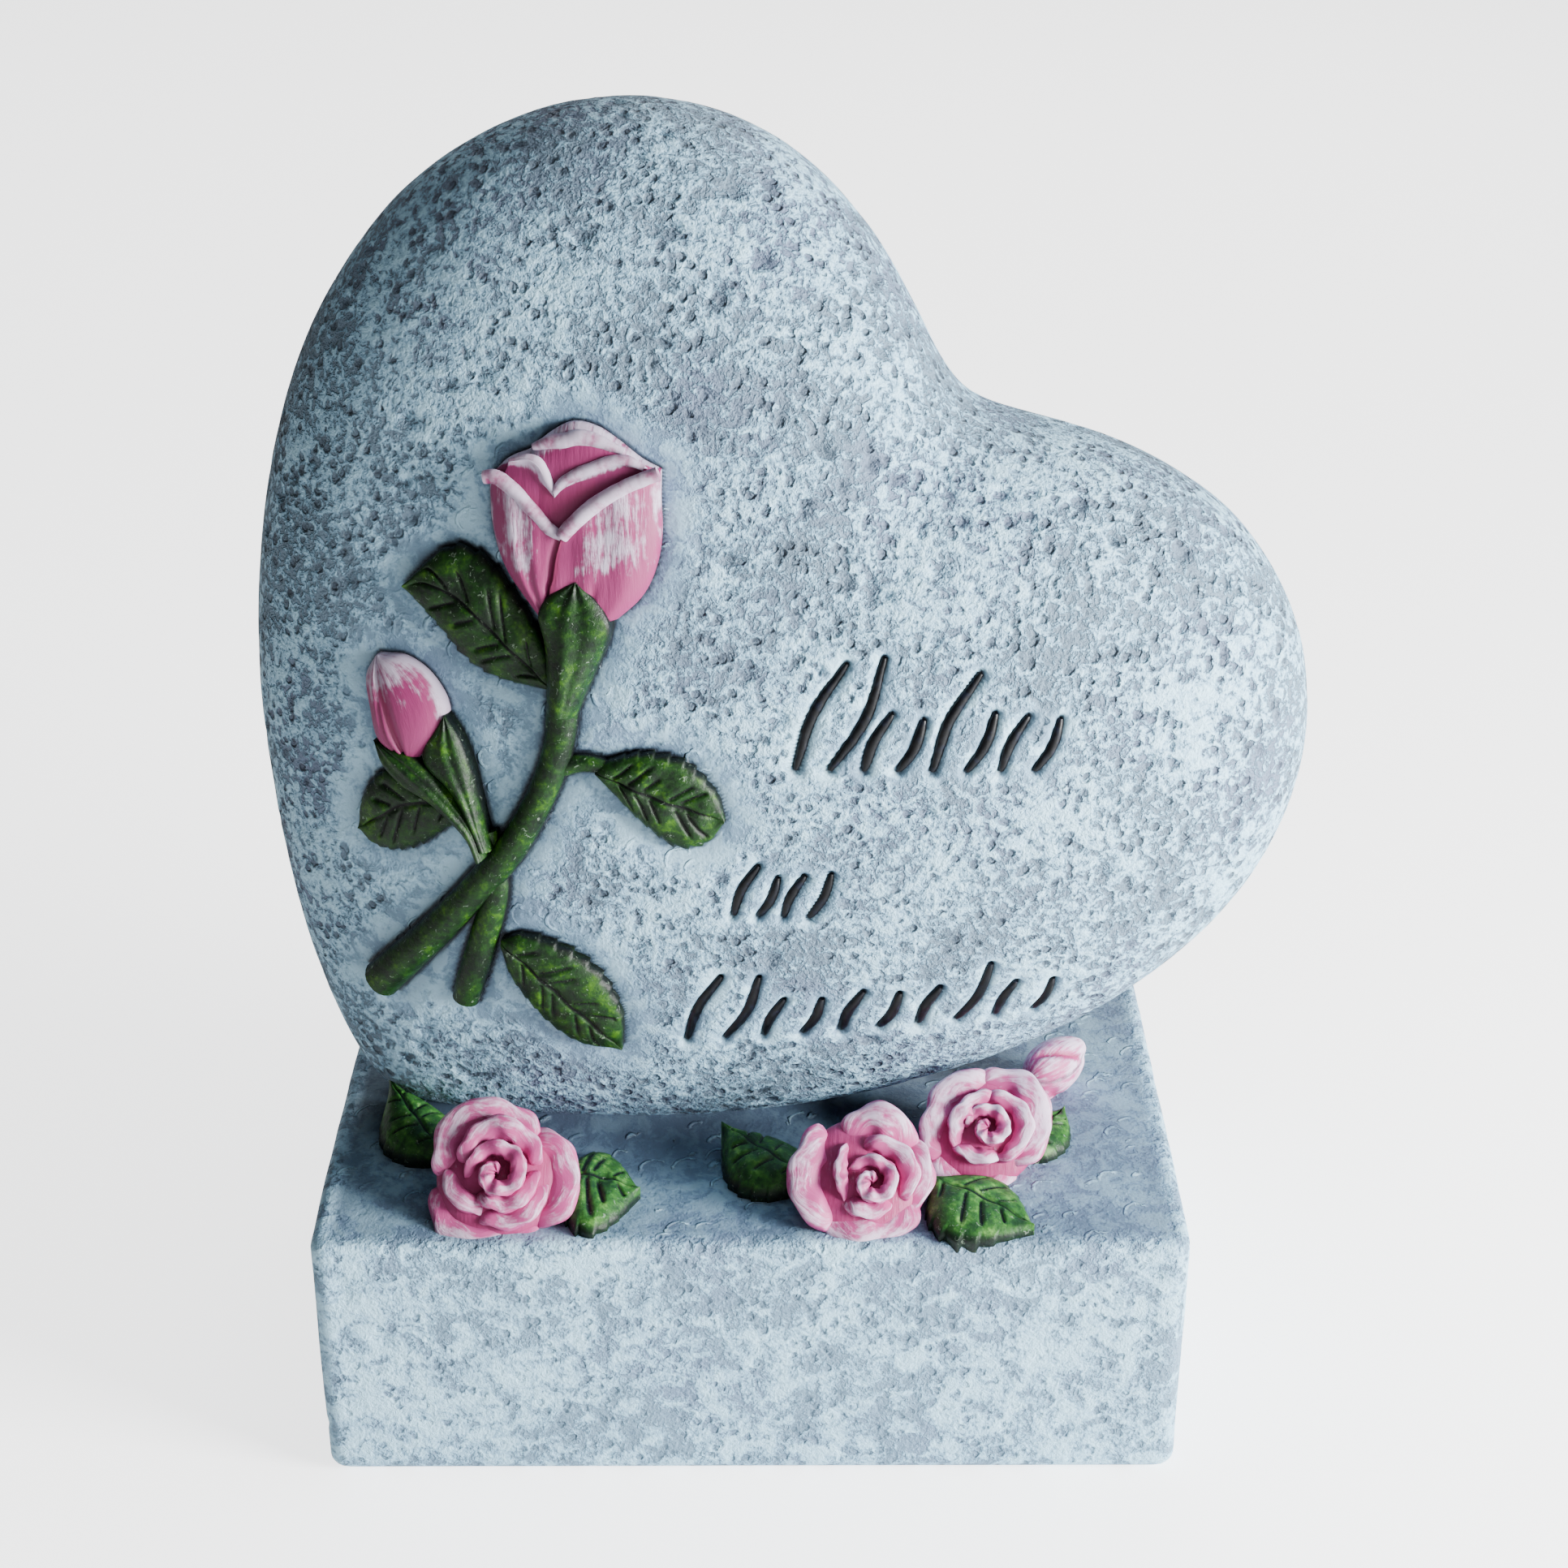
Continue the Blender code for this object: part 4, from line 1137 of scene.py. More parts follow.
class PieceTree:
    """A node tree that is run on a piece, which then keeps the result as its plain mesh."""

    name = "Piece"
    inputs: tuple[tuple[str, float], ...] = ()

    def __init__(self) -> None:
        """Build the tree between its inputs and its output."""
        self.tree = bpy.data.node_groups.new(self.name, "GeometryNodeTree")
        face = self.tree.interface
        face.new_socket("Geometry", in_out="INPUT", socket_type="NodeSocketGeometry")
        for name, value in self.inputs:
            kind = "NodeSocketInt" if isinstance(value, int) else "NodeSocketFloat"
            face.new_socket(name, in_out="INPUT", socket_type=kind).default_value = value
        face.new_socket("Finish", in_out="INPUT", socket_type="NodeSocketMaterial")
        face.new_socket("Geometry", in_out="OUTPUT", socket_type="NodeSocketGeometry")
        self.nodes = Nodes(self.tree)
        self.given = self.nodes.add("NodeGroupInput").outputs
        self.place = self.nodes.add("GeometryNodeInputPosition").outputs[0]
        real = self.nodes.add("GeometryNodeRealizeInstances", {0: self.shape()})
        dressed = self.nodes.add("GeometryNodeSetMaterial",
                                 {"Geometry": real.outputs[0], "Material": self.given["Finish"]})
        self.nodes.add("NodeGroupOutput", {0: dressed.outputs[0]})

    def shape(self) -> Socket:
        """Build the nodes that shape the piece, and give their result."""
        raise NotImplementedError

    def field(self, kind: str, size: Socket, seed: Socket) -> bpy.types.Node:
        """Make a noise or cell field whose size is an input.

        Args:
            kind: Blender's name for the node type.
            size: The size in metres of a blotch or a cell.
            seed: Tells one field from another.

        Returns:
            The field's node.
        """
        scale = self.nodes.math("DIVIDE", 1.0, size)
        dimensions = "noise_dimensions" if "Noise" in kind else "voronoi_dimensions"
        values = {"Vector": self.place, "W": seed, "Scale": scale}
        return self.nodes.add(kind, values, **{dimensions: "4D"})

    def read(self, name: str) -> Socket:
        """Give a value stored on the points."""
        node = self.nodes.add("GeometryNodeInputNamedAttribute", {"Name": name}, data_type="FLOAT")
        return node.outputs["Attribute"]

    def store(self, geometry: Socket, name: str, value: Socket) -> Socket:
        """Store a value on points under a name."""
        values = {"Geometry": geometry, "Name": name, "Value": value}
        return self.nodes.add("GeometryNodeStoreNamedAttribute", values, data_type="FLOAT").outputs[0]

    def push(self, geometry: Socket, distance: Socket) -> Socket:
        """Move points outwards.

        Args:
            geometry: The points.
            distance: How far each moves, in metres.

        Returns:
            The moved points.
        """
        normal = self.nodes.add("GeometryNodeInputNormal").outputs[0]
        move = self.nodes.add("ShaderNodeVectorMath", {0: normal, "Scale": distance}, operation="SCALE")
        values = {"Geometry": geometry, "Offset": move.outputs[0]}
        return self.nodes.add("GeometryNodeSetPosition", values).outputs[0]

    def run(self, piece: Piece, material: bpy.types.Material, **values: float) -> None:
        """Run the tree on a piece and keep the result as its plain mesh.

        Args:
            piece: The object to run it on.
            material: Its finish.
            values: Inputs that differ from the tree's own, with _ for a space.
        """
        modifier = piece.modifiers.new(self.name, "NODES")
        modifier.node_group = self.tree
        wanted = {key.replace("_", " ").capitalize(): value for key, value in values.items()}
        wanted["Finish"] = material
        for socket in self.tree.interface.items_tree:
            if socket.in_out == "INPUT" and socket.name in wanted:
                modifier[socket.identifier] = wanted[socket.name]
        solved = piece.evaluated_get(bpy.context.evaluated_depsgraph_get())
        mesh = bpy.data.meshes.new_from_object(solved)
        piece.modifiers.remove(modifier)
        mesh.name = piece.name
        piece.data = mesh


class Weathering(PieceTree):
    """Dents and waves pressed into stone."""

    name = "Weathered stone"
    inputs = (("Wave depth", 0.35 * MM), ("Wave size", 21 * MM), ("Dent depth", 0.5 * MM),
              ("Dent size", 5.2 * MM), ("Pock depth", 0.42 * MM), ("Pock size", 3.0 * MM),
              ("Flat foot", 4 * MM), ("Seed", 4.0))
    patch = 13 * MM

    def shape(self) -> Socket:
        """Press waves, dents and pocks into the stone.

        Returns:
            The pressed geometry, with how deeply each point is dented stored on it.
        """
        nodes, given = self.nodes, self.given
        swell = self.field("ShaderNodeTexNoise", given["Wave size"], given["Seed"]).outputs[0]
        wave = nodes.times(nodes.minus(swell, 0.5), 2.0)
        total = nodes.times(wave, given["Wave depth"])
        loud = nodes.math("SUBTRACT!", 1.0, self.read("calm"))
        dents = []
        for kind, shift in (("Dent", 11.0), ("Pock", 23.0)):
            seed = nodes.plus(given["Seed"], shift)
            cells = self.field("ShaderNodeTexVoronoi", given[f"{kind} size"], seed)
            patchy = nodes.ramp(nodes.noise(self.place, self.patch, 2, 0.5, shift), 0.42, 0.6, 0.15, 1.0)
            hollow = nodes.times(nodes.ramp(cells.outputs["Distance"], 0.12, 0.42, 1.0, 0.0), patchy)
            press = nodes.times(nodes.times(hollow, given[f"{kind} depth"]), loud)
            total = nodes.minus(total, press)
            dents.append(nodes.times(hollow, loud))
        deepest = nodes.math("MAXIMUM", *dents)
        rise = nodes.add("ShaderNodeSeparateXYZ", {0: self.place}).outputs[2]
        total = nodes.times(total, nodes.ramp(rise, 0.0, given["Flat foot"]))
        return self.push(self.store(given["Geometry"], "dent", deepest), total)


# What grows on the stone


class Growth(Enum):
    """Kinds of form in relief that lie between two edges."""

    LEAF = "leaf"
    SEPAL = "sepal"
    BUD = "bud"


@dataclass(frozen=True)
class Lens:
    """A form in relief between two edges that run from its base to its tip, in millimetres."""

    name: str
    kind: Growth
    first: Knots
    middle: Knots
    last: Knots
    rise: float
    under: float = 0.45
    heights: tuple[float, float] = (0.0, 0.0)
    droop: float = 0.0
    rows: int = 116
    columns: int = 47
    edge_rise: float = 0.45
    root: float = 1.2
    blunt: float = 0.08
    teeth: int = 11
    tooth_depth: float = 0.1
    vein_pairs: int = 5
    vein_slant: float = 0.2
    vein_width: float = 0.3
    vein_depth: float = 0.6

    @property
    def length(self) -> float:
        """The length from base to tip, in millimetres."""
        return math.dist(self.middle[-1], self.middle[0])

    @property
    def half_width(self) -> float:
        """Half the width halfway along, in millimetres."""
        return math.dist(self.first[len(self.first) // 2], self.last[len(self.last) // 2]) / 2

    def shares(self) -> tuple[np.ndarray, np.ndarray]:
        """Lay out the grid of points.

        Returns:
            Each point's share of the length, and its share across from -1 to 1.
        """
        along = np.linspace(0, 1, self.rows)
        across = np.sin(np.linspace(-math.pi / 2, math.pi / 2, self.columns))
        return np.meshgrid(0.4 * (0.5 - 0.5 * np.cos(along * math.pi)) + 0.6 * along, across, indexing="ij")

    def flat(self) -> np.ndarray:
        """Fill the outline with places.

        Returns:
            The grid of places, in metres.
        """
        along, across = self.shares()
        lines = [smooth_line(line, 200) for line in (self.first, self.middle, self.last)]
        steps = np.linspace(0, 1, 200)
        first, middle, last = (
            np.stack([np.interp(along[:, 0], steps, line[:, k]) for k in (0, 1)], axis=1)[:, None]
            for line in lines
        )
        share = np.abs(across)[..., None]
        places = np.where(across[..., None] < 0, first, last) * share + middle * (1 - share)
        side = np.gradient(middle[:, 0], axis=0)
        side = np.column_stack([side[:, 1], -side[:, 0]]) / np.linalg.norm(side, axis=1, keepdims=True)
        turned = np.sign(np.sum((last - first)[:, 0] * side, axis=1).sum())
        places = places + turned * self.blunt * (across[..., None] * side[:, None])
        if self.kind is Growth.LEAF:
            saw = (along * self.teeth + 0.15 * np.sign(across)) % 1 - 0.5
            bite = self.tooth_depth * saw * np.abs(across) ** 8 * np.sin(along * math.pi) ** 0.4
            places = places + (places - middle) * bite[..., None]
        return places * MM

    def veins(self) -> np.ndarray:
        """Draw a leaf's veins.

        Returns:
            How deep in a leaf's furrow each point is, from 0 to 1.
        """
        along, across = self.shares()
        wide = np.abs(across)
        depth = bump(across * self.half_width, self.vein_width) * (1 - smoothstep(0.86, 0.98, along))
        for k in range(self.vein_pairs):
            jitter = 0.03 * math.sin(k * 2.4 + self.length)
            start = 0.08 + 0.7 * k / self.vein_pairs + 0.06 * (across > 0) + jitter
            off = (along - start - self.vein_slant * wide**0.8) * self.length
            far = 0.72 + 0.12 * math.sin(k * 1.9 + self.length)
            reach = smoothstep(0.04, 0.16, wide) * (1 - smoothstep(far - 0.16, far, wide))
            depth = np.maximum(depth, 0.9 * bump(off, self.vein_width) * reach)
        return depth

    def lift(self) -> Shape:
        """Shape the form's surface.

        Returns:
            Each point's height in metres and what the finish reads there.
        """
        along, across = self.shares()
        wide = np.abs(across)
        ends = np.sin(math.pi * np.clip(along, 0.001, 0.999) ** 0.8)
        height = self.heights[0] + (self.heights[1] - self.heights[0]) * along
        height = height * (1 - self.droop * wide**2.2)
        rim = smoothstep(0.8, 1.0, wide)
        if self.kind is Growth.LEAF:
            vein = self.veins()
            dome = np.sqrt(1 - wide**3.2) * (0.5 + 0.5 * ends)
            billow = 0.22 * np.sin(along * math.pi * self.vein_pairs * 1.6 + 2 * across) * (1 - wide)
            body = self.edge_rise + (self.rise - self.edge_rise) * dome + billow - self.vein_depth * vein
        elif self.kind is Growth.SEPAL:
            vein = bump(across - 0.3, 0.1) * 0.4 * (1 - along)
            dome = np.sqrt(np.maximum(1 - across**2, 0)) * (1 - 0.85 * along**5)
            edge = self.edge_rise + (self.under - self.edge_rise) * smoothstep(0.4, 0.66, along)
            ridges = 0.16 * np.cos(across * 8.5 + 0.6) * (1 - across**2) * smoothstep(0.05, 0.4, along)
            body = edge + (self.rise - edge) * dome - 0.3 * vein + ridges
        else:
            vein = bump(across, 0.1) * (1 - smoothstep(0.85, 1, along))
            vein = np.maximum(vein, 0.6 * bump(across + 0.5 * (1 - along), 0.08))
            dome = np.sqrt(np.maximum(1 - wide**2.4, 0)) * (0.25 + 0.75 * ends**0.5)
            body = self.edge_rise + (self.rise - self.edge_rise) * dome - 0.75 * vein
            rim = np.maximum(rim, smoothstep(0.35, 1.0, along))
        # For the bud, the creases get painted shade from the petal paint.
        marks = {"vein": vein, "rim": rim, "deep": vein, "along": along * self.length * MM,
                 "across": across * self.half_width * MM}
        return (height + body) * MM, marks

    def border(self) -> np.ndarray:
        """Give points of the outline, in metres."""
        places = self.flat()
        return np.vstack([places[:, 0], places[:, -1], places[-1]])

    def build(self, place: Placer) -> Piece:
        """Build the form.

        Args:
            place: Turns places and heights into points of the scene.

        Returns:
            The form, closed underneath the surface that it lies on.
        """
        flat = self.flat()
        lift, marks = self.lift()
        bottom = place(flat, np.full(lift.shape, -self.root * MM))
        return Maker.slab(self.name, place(flat, lift), bottom, marks, gap=0)


class Strand(PieceTree):
    """Round strands along lines."""

    name = "Rounded strand"
    inputs = (("Sides", 20), ("Spacing", 0.45 * MM), ("Lump depth", 0.12 * MM), ("Lump size", 3 * MM),
              ("Seed", 2.0))

    def shape(self) -> Socket:
        """Lay a lumpy skin round the lines.

        Returns:
            The skin.
        """
        nodes, given = self.nodes, self.given
        line = nodes.add("GeometryNodeMeshToCurve", {"Mesh": given["Geometry"]}).outputs[0]
        values = {"Curve": line, "Length": given["Spacing"]}
        line = nodes.add("GeometryNodeResampleCurve", values, mode="LENGTH").outputs[0]
        spline = nodes.add("GeometryNodeSplineParameter").outputs
        line = self.store(line, "along", spline["Length"])
        ring = nodes.add("GeometryNodeCurvePrimitiveCircle", {"Resolution": given["Sides"], "Radius": 1.0})
        spline = nodes.add("GeometryNodeSplineParameter").outputs
        ring = self.store(ring.outputs[0], "turn", spline["Factor"])
        values = {"Curve": line, "Profile Curve": ring, "Scale": self.read("thickness"), "Fill Caps": True}
        tube = nodes.add("GeometryNodeCurveToMesh", values).outputs[0]
        lumps = self.field("ShaderNodeTexNoise", given["Lump size"], given["Seed"]).outputs[0]
        swell = nodes.times(nodes.minus(lumps, 0.5), given["Lump depth"])
        return self.push(tube, nodes.times(swell, 2.0))

    def build(self, name: str, lines: list[np.ndarray], radii: list[np.ndarray],
              material: bpy.types.Material, **values: float) -> Piece:
        """Build strands as one piece.

        Args:
            name: The piece's name.
            lines: Points of each strand's middle line.
            radii: Its radius at each of those points.
            material: Its finish.
            values: Inputs that differ from the tree's own, with _ for a space.

        Returns:
            The strands' plain mesh as an object.
        """
        mesh = bpy.data.meshes.new(name)
        edges = []
        start = 0
        for line in lines:
            edges += [(k, k + 1) for k in range(start, start + len(line) - 1)]
            start += len(line)
        mesh.from_pydata(np.vstack(lines).tolist(), edges, [])
        Maker.mark(mesh, {"thickness": np.concatenate(radii)})
        piece = Maker.put(name, mesh)
        self.run(piece, material, **values)
        piece.data.shade_smooth()
        return piece


# The rose in relief on the face


@dataclass
class FaceRose:
    """The long-stemmed rose on the heart's face; places are millimetres on the face."""

    form: HeartForm
    strand: Strand
    petal_paint: bpy.types.Material
    leaf_paint: bpy.types.Material
    left_side: Knots = ((-31.0, 9.0), (-33.7, 12.5), (-35.9, 15.9), (-37.2, 19.3), (-37.9, 23.3),
                        (-38.0, 26.7), (-38.0, 29.2))
    right_side: Knots = ((-20.6, 9.6), (-18.0, 12.0), (-16.3, 14.6), (-15.1, 18.2), (-14.6, 22.0),
                         (-14.7, 26.0), (-14.6, 30.4))
    seam: Knots = ((-29.5, 9.4), (-29.6, 13.8), (-29.1, 15.6), (-28.6, 18.5), (-27.7, 21.6))
    left_lip: Knots = ((-38.0, 29.2), (-36.4, 29.3), (-34.1, 27.7), (-31.6, 25.0), (-29.7, 22.8),
                       (-27.7, 21.6))
    right_lip: Knots = ((-27.7, 21.6), (-26.6, 22.9), (-24.1, 25.3), (-21.5, 27.2), (-18.4, 28.9),
                        (-14.6, 30.4))
    crown: Knots = ((-37.4, 29.6), (-35.3, 31.6), (-32.2, 33.0), (-29.6, 35.2), (-26.6, 36.7),
                    (-23.4, 36.1), (-20.6, 34.4), (-17.4, 31.9), (-15.0, 30.6))
    back_rim: Knots = ((-31.6, 33.3), (-29.3, 34.0), (-27.3, 34.2), (-25.2, 34.7), (-22.6, 34.2),
                       (-19.4, 32.9))
    right_rim: Knots = ((-28.7, 27.4), (-27.5, 28.9), (-25.6, 30.0), (-23.4, 30.9), (-21.1, 31.8),
                        (-18.9, 32.0), (-16.6, 31.0))
    left_rim: Knots = ((-34.6, 31.4), (-32.2, 31.9), (-30.6, 31.1), (-29.6, 29.2), (-28.8, 27.6))
    right_root: Knots = ((-28.6, 22.4), (-25.0, 25.6), (-21.0, 28.2), (-15.6, 30.4))
    left_root: Knots = ((-35.8, 29.2), (-33.2, 27.6), (-30.4, 24.6), (-28.9, 22.8))
    petal_rise: float = 4.1
    mouth_rise: float = 3.3
    roll_white: float = 0.84
    root: float = 1.2
    stem: Knots = ((-28.7, -1.0), (-29.0, -4.6), (-29.9, -10.4), (-32.6, -17.8), (-36.8, -25.8),
                   (-41.5, -32.0), (-48.2, -40.0), (-58.6, -51.4))
    stem_radii: tuple[float, ...] = (2.5, 2.4, 2.25, 2.2, 2.35, 2.4, 2.6, 3.0)
    side_stem: Knots = ((-40.9, -24.0), (-40.4, -28.0), (-39.8, -33.0), (-41.6, -39.8), (-43.8, -46.8),
                        (-45.8, -53.2))
    side_radii: tuple[float, ...] = (1.7, 1.5, 1.9, 2.2, 2.3, 2.1)
    stalk: Knots = ((-29.9, -13.4), (-26.9, -12.6), (-24.0, -12.9), (-21.5, -14.2))
    stalk_radii: tuple[float, ...] = (1.6, 1.4, 1.3, 1.1)
    greens: tuple[Lens, ...] = (
        Lens("leaf_upper_left", Growth.LEAF,
             ((-30.9, -1.4), (-38.0, 0.1), (-42.3, 2.6), (-46.2, 7.2), (-50.9, 12.4)),
             ((-30.3, -1.0), (-37.0, 6.0), (-42.2, 11.0), (-47.2, 13.4), (-50.9, 12.6)),
             ((-29.8, -0.6), (-31.2, 5.2), (-35.5, 12.9), (-40.0, 17.9), (-44.9, 18.4), (-50.9, 12.8)),
             rise=2.7),
        Lens("leaf_right", Growth.LEAF,
             ((-24.6, -13.0), (-22.0, -11.6), (-17.2, -10.6), (-11.6, -12.2), (-7.6, -16.6),
              (-6.4, -20.3)),
             ((-24.6, -13.5), (-20.5, -15.2), (-15.6, -17.2), (-11.0, -18.8), (-6.4, -20.6)),
             ((-24.6, -14.0), (-21.8, -17.2), (-17.8, -21.6), (-13.4, -25.0), (-9.0, -24.4),
              (-6.4, -20.9)), rise=2.5),
        Lens("leaf_low_right", Growth.LEAF,
             ((-39.6, -41.9), (-36.0, -40.8), (-29.5, -43.2), (-24.8, -47.6), (-22.2, -54.0),
              (-22.2, -60.3)),
             ((-39.4, -42.2), (-34.7, -46.4), (-28.9, -52.7), (-22.3, -60.4)),
             ((-39.6, -42.8), (-38.2, -48.4), (-33.4, -55.8), (-28.2, -59.9), (-22.4, -60.5)), rise=2.5),
        Lens("leaf_small", Growth.LEAF,
             ((-43.6, -20.2), (-49.0, -16.2), (-54.2, -15.2), (-57.6, -17.8), (-59.5, -21.6),
              (-59.9, -25.2)),
             ((-43.6, -21.0), (-48.8, -19.7), (-52.8, -20.6), (-56.4, -23.0), (-59.9, -25.4)),
             ((-43.6, -21.8), (-47.2, -24.4), (-51.1, -27.3), (-55.2, -28.5), (-58.3, -27.8),
              (-59.9, -25.6)), rise=2.3, vein_pairs=4),
        Lens("sepal_big", Growth.SEPAL,
             ((-31.0, -3.6), (-30.9, 2.4), (-31.2, 8.4), (-31.1, 10.9), (-29.6, 13.4), (-26.0, 15.4)),
             ((-28.9, -4.0), (-27.7, 4.0), (-26.9, 10.0), (-26.0, 15.4)),
             ((-26.7, -4.6), (-24.4, 0.8), (-22.2, 6.0), (-21.7, 9.4), (-23.3, 12.6), (-26.0, 15.4)),
             rise=5.3, under=3.7),
        Lens("sepal_right", Growth.SEPAL,
             ((-41.7, -26.0), (-45.0, -18.0), (-48.8, -13.6), (-48.6, -10.6), (-46.8, -7.8), (-45.6, -5.9)),
             ((-40.7, -26.2), (-43.0, -18.6), (-45.4, -12.0), (-45.6, -5.9)),
             ((-39.7, -26.4), (-40.6, -22.6), (-41.4, -17.8), (-42.4, -13.0), (-43.8, -8.8),
              (-45.6, -5.9)), rise=3.9, under=1.9),
        Lens("sepal_left", Growth.SEPAL,
             ((-42.0, -28.0), (-43.6, -24.4), (-48.5, -19.5), (-52.4, -16.8), (-55.0, -13.8),
              (-55.9, -10.4)),
             ((-41.2, -27.6), (-43.0, -22.6), (-48.0, -17.0), (-52.4, -13.2), (-55.9, -10.4)),
             ((-40.4, -27.2), (-42.2, -21.6), (-46.4, -16.0), (-50.2, -12.5), (-53.0, -11.5),
              (-55.9, -10.4)), rise=4.3, under=2.3),
    )
    bud: Lens = Lens("bud_small", Growth.BUD,
                     ((-51.4, -13.2), (-55.6, -10.8), (-56.6, -5.6), (-57.0, -1.0), (-55.4, 2.1)),
                     ((-51.2, -13.4), (-53.2, -7.0), (-54.2, -2.6), (-55.2, 2.1)),
                     ((-50.4, -13.6), (-46.2, -8.6), (-45.8, -4.4), (-48.2, -0.2), (-51.6, 2.0),
                      (-55.0, 2.1)), rise=3.9)

    def dense(self, line: Knots, radii: tuple[float, ...]) -> tuple[np.ndarray, np.ndarray]:
        """Give a strand's smooth flat line and radii, in metres."""
        both = smooth_line(np.column_stack([line, radii]), 120) * MM
        return both[:, :2], both[:, 2]

    def strands(self) -> dict[str, tuple[np.ndarray, np.ndarray, float]]:
        """Give each stem's flat line, radii and how far its middle stands proud."""
        return {
            "stem": (*self.dense(self.stem, self.stem_radii), 0.6 * MM),
            "stem_side": (*self.dense(self.side_stem, self.side_radii), 0.1 * MM),
            "stalk": (*self.dense(self.stalk, self.stalk_radii), 0.2 * MM),
        }

    def halos(self) -> np.ndarray:
        """Trace every outline in relief, for the moat around it.

        Returns:
            Points on the face, in metres.
        """
        outlines = [lens.border() for lens in (*self.greens, self.bud)]
        for line, radii, _ in self.strands().values():
            outlines.append(ribbon(line, radii, np.array([-1.0, 1.0])).reshape(-1, 2))
        for knots in (self.left_side, self.right_side, self.crown):
            outlines.append(smooth_line(knots, 90) * MM)
        return np.vstack(outlines)

    def patch(self, name: str, lines: tuple[Knots, Knots, Knots, Knots], lift: Shaper,
              cells: int = 70) -> Piece:
        """Build one petal between four lines.

        Args:
            name: The piece's name.
            lines: Lines at the bottom, top, left and right; the first two run from left to right.
            lift: Gives heights in millimetres, and what the finish reads, from shares across and along.
            cells: Cells each way.

        Returns:
            The petal.
        """
        flat = coons(*(smooth_line(line, cells + 1) for line in lines)) * MM
        shares = np.linspace(0, 1, cells + 1)
        along, across = np.meshgrid(shares, shares, indexing="ij")
        height, marks = lift(across, along)
        marks = {"vein": np.zeros_like(along), "along": flat[..., 1], "across": flat[..., 0], **marks}
        under = self.form.on_face(flat, -self.root * MM)
        return Maker.slab(name, self.form.on_face(flat, height * MM), under, marks)

    def outer(self, across: np.ndarray, along: np.ndarray, out: np.ndarray, lap: float) -> Shape:
        """Shape an outer petal.

        Args:
            across: Share from left to right.
            along: Share from the base to the lip.
            out: Share from the bud's outer side to the seam.
            lap: How far the petal stands over its neighbour at the seam.

        Returns:
            Heights in millimetres and what the finish reads.
        """
        side = np.sqrt(1 - (1 - np.minimum(out / 0.42, 1)) ** 2)
        seam = bump(1 - out, 0.07)
        flare = bump(1 - along, 0.16)
        height = 0.7 + (self.petal_rise - 0.7) * side * (0.78 + 0.22 * np.sin(along * math.pi * 0.8))
        height = height - (0.9 - lap) * seam + 0.35 * flare * side
        height = height + 0.12 * np.sin(across * 17 + 3 * along) * side
        brushed = smoothstep(0.25, 0.6, along) * bump(out - 0.42, 0.34)
        brushed = np.maximum(brushed * 0.78, 0.75 * bump(out, 0.1) * along)
        # Painted shade along the seam and at the petal's base.
        return height, {"rim": brushed, "deep": np.maximum(seam, 0.4 * (1 - smoothstep(0, 0.3, along)))}

    def left_petal(self, across: np.ndarray, along: np.ndarray) -> Shape:
        """Shape the left petal, which tucks under at the seam."""
        return self.outer(across, along, across, 0.0)

    def right_petal(self, across: np.ndarray, along: np.ndarray) -> Shape:
        """Shape the right petal, which laps over at the seam.

        Args:
            across: Share from left to right.
            along: Share from the lower edge to the upper.

        Returns:
            Heights in millimetres and what the finish reads.
        """
        height, marks = self.outer(across, along, 1 - across, 0.75)
        fold = bump(across - 0.38 - 0.12 * (1 - along), 0.05) * (1 - smoothstep(0.25, 0.5, along))
        # The fold gets painted shade too.
        return height - 0.3 * fold, {**marks, "deep": np.maximum(marks["deep"], 0.5 * fold)}

    def mouth(self, across: np.ndarray, along: np.ndarray) -> Shape:
        """Shape the hollow between the lips and the crown.

        Args:
            across: Share from left to right.
            along: Share from the lower edge to the upper.

        Returns:
            Heights in millimetres and what the finish reads.
        """
        side = np.sqrt(1 - (2 * across - 1) ** 2 * 0.92)
        top = np.sqrt(1 - np.maximum(along - 0.62, 0) ** 2 / 0.38**2 * 0.94)
        height = 0.4 + (self.mouth_rise - 0.4) * side * top
        rim = 0.9 * smoothstep(0.7, 0.92, along)
        # Painted shade low in the mouth.
        return height, {"rim": rim, "deep": 0.6 * (1 - smoothstep(0.3, 0.75, along))}

    def inner(self, across: np.ndarray, along: np.ndarray) -> Shape:
        """Shape an inner petal, whose upper edge rolls outwards."""
        height = self.mouth_rise * 0.82 + 0.9 * bump(1 - along, 0.2) + 0.45 * np.sin(across * math.pi)
        # Painted shade at the petal's root.
        return height, {"rim": smoothstep(0.5, 0.85, along), "deep": 0.7 * bump(along, 0.4)}

    def petals(self) -> list[Piece]:
        """Build the open bud's petals.

        Returns:
            The two outer petals, the mouth and the two inner petals.
        """
        left_base = (self.left_side[0], self.seam[0])
        right_base = (self.seam[0], self.right_side[0])
        lips = (*self.left_lip, *self.right_lip[1:])
        ends = (lips[0], self.crown[0]), (lips[-1], self.crown[-1])
        pieces = [
            self.patch("petal_left", (left_base, self.left_lip, self.left_side, self.seam), self.left_petal),
            self.patch("petal_right", (right_base, self.right_lip, self.seam, self.right_side),
                       self.right_petal),
            self.patch("petal_mouth", (lips, self.crown, *ends), self.mouth),
        ]
        for name, root, rim in (("petal_inner_right", self.right_root, self.right_rim),
                                ("petal_inner_left", self.left_root, self.left_rim)):
            pieces.append(self.patch(name, (root, rim, (root[0], rim[0]), (root[-1], rim[-1])), self.inner))
        return pieces

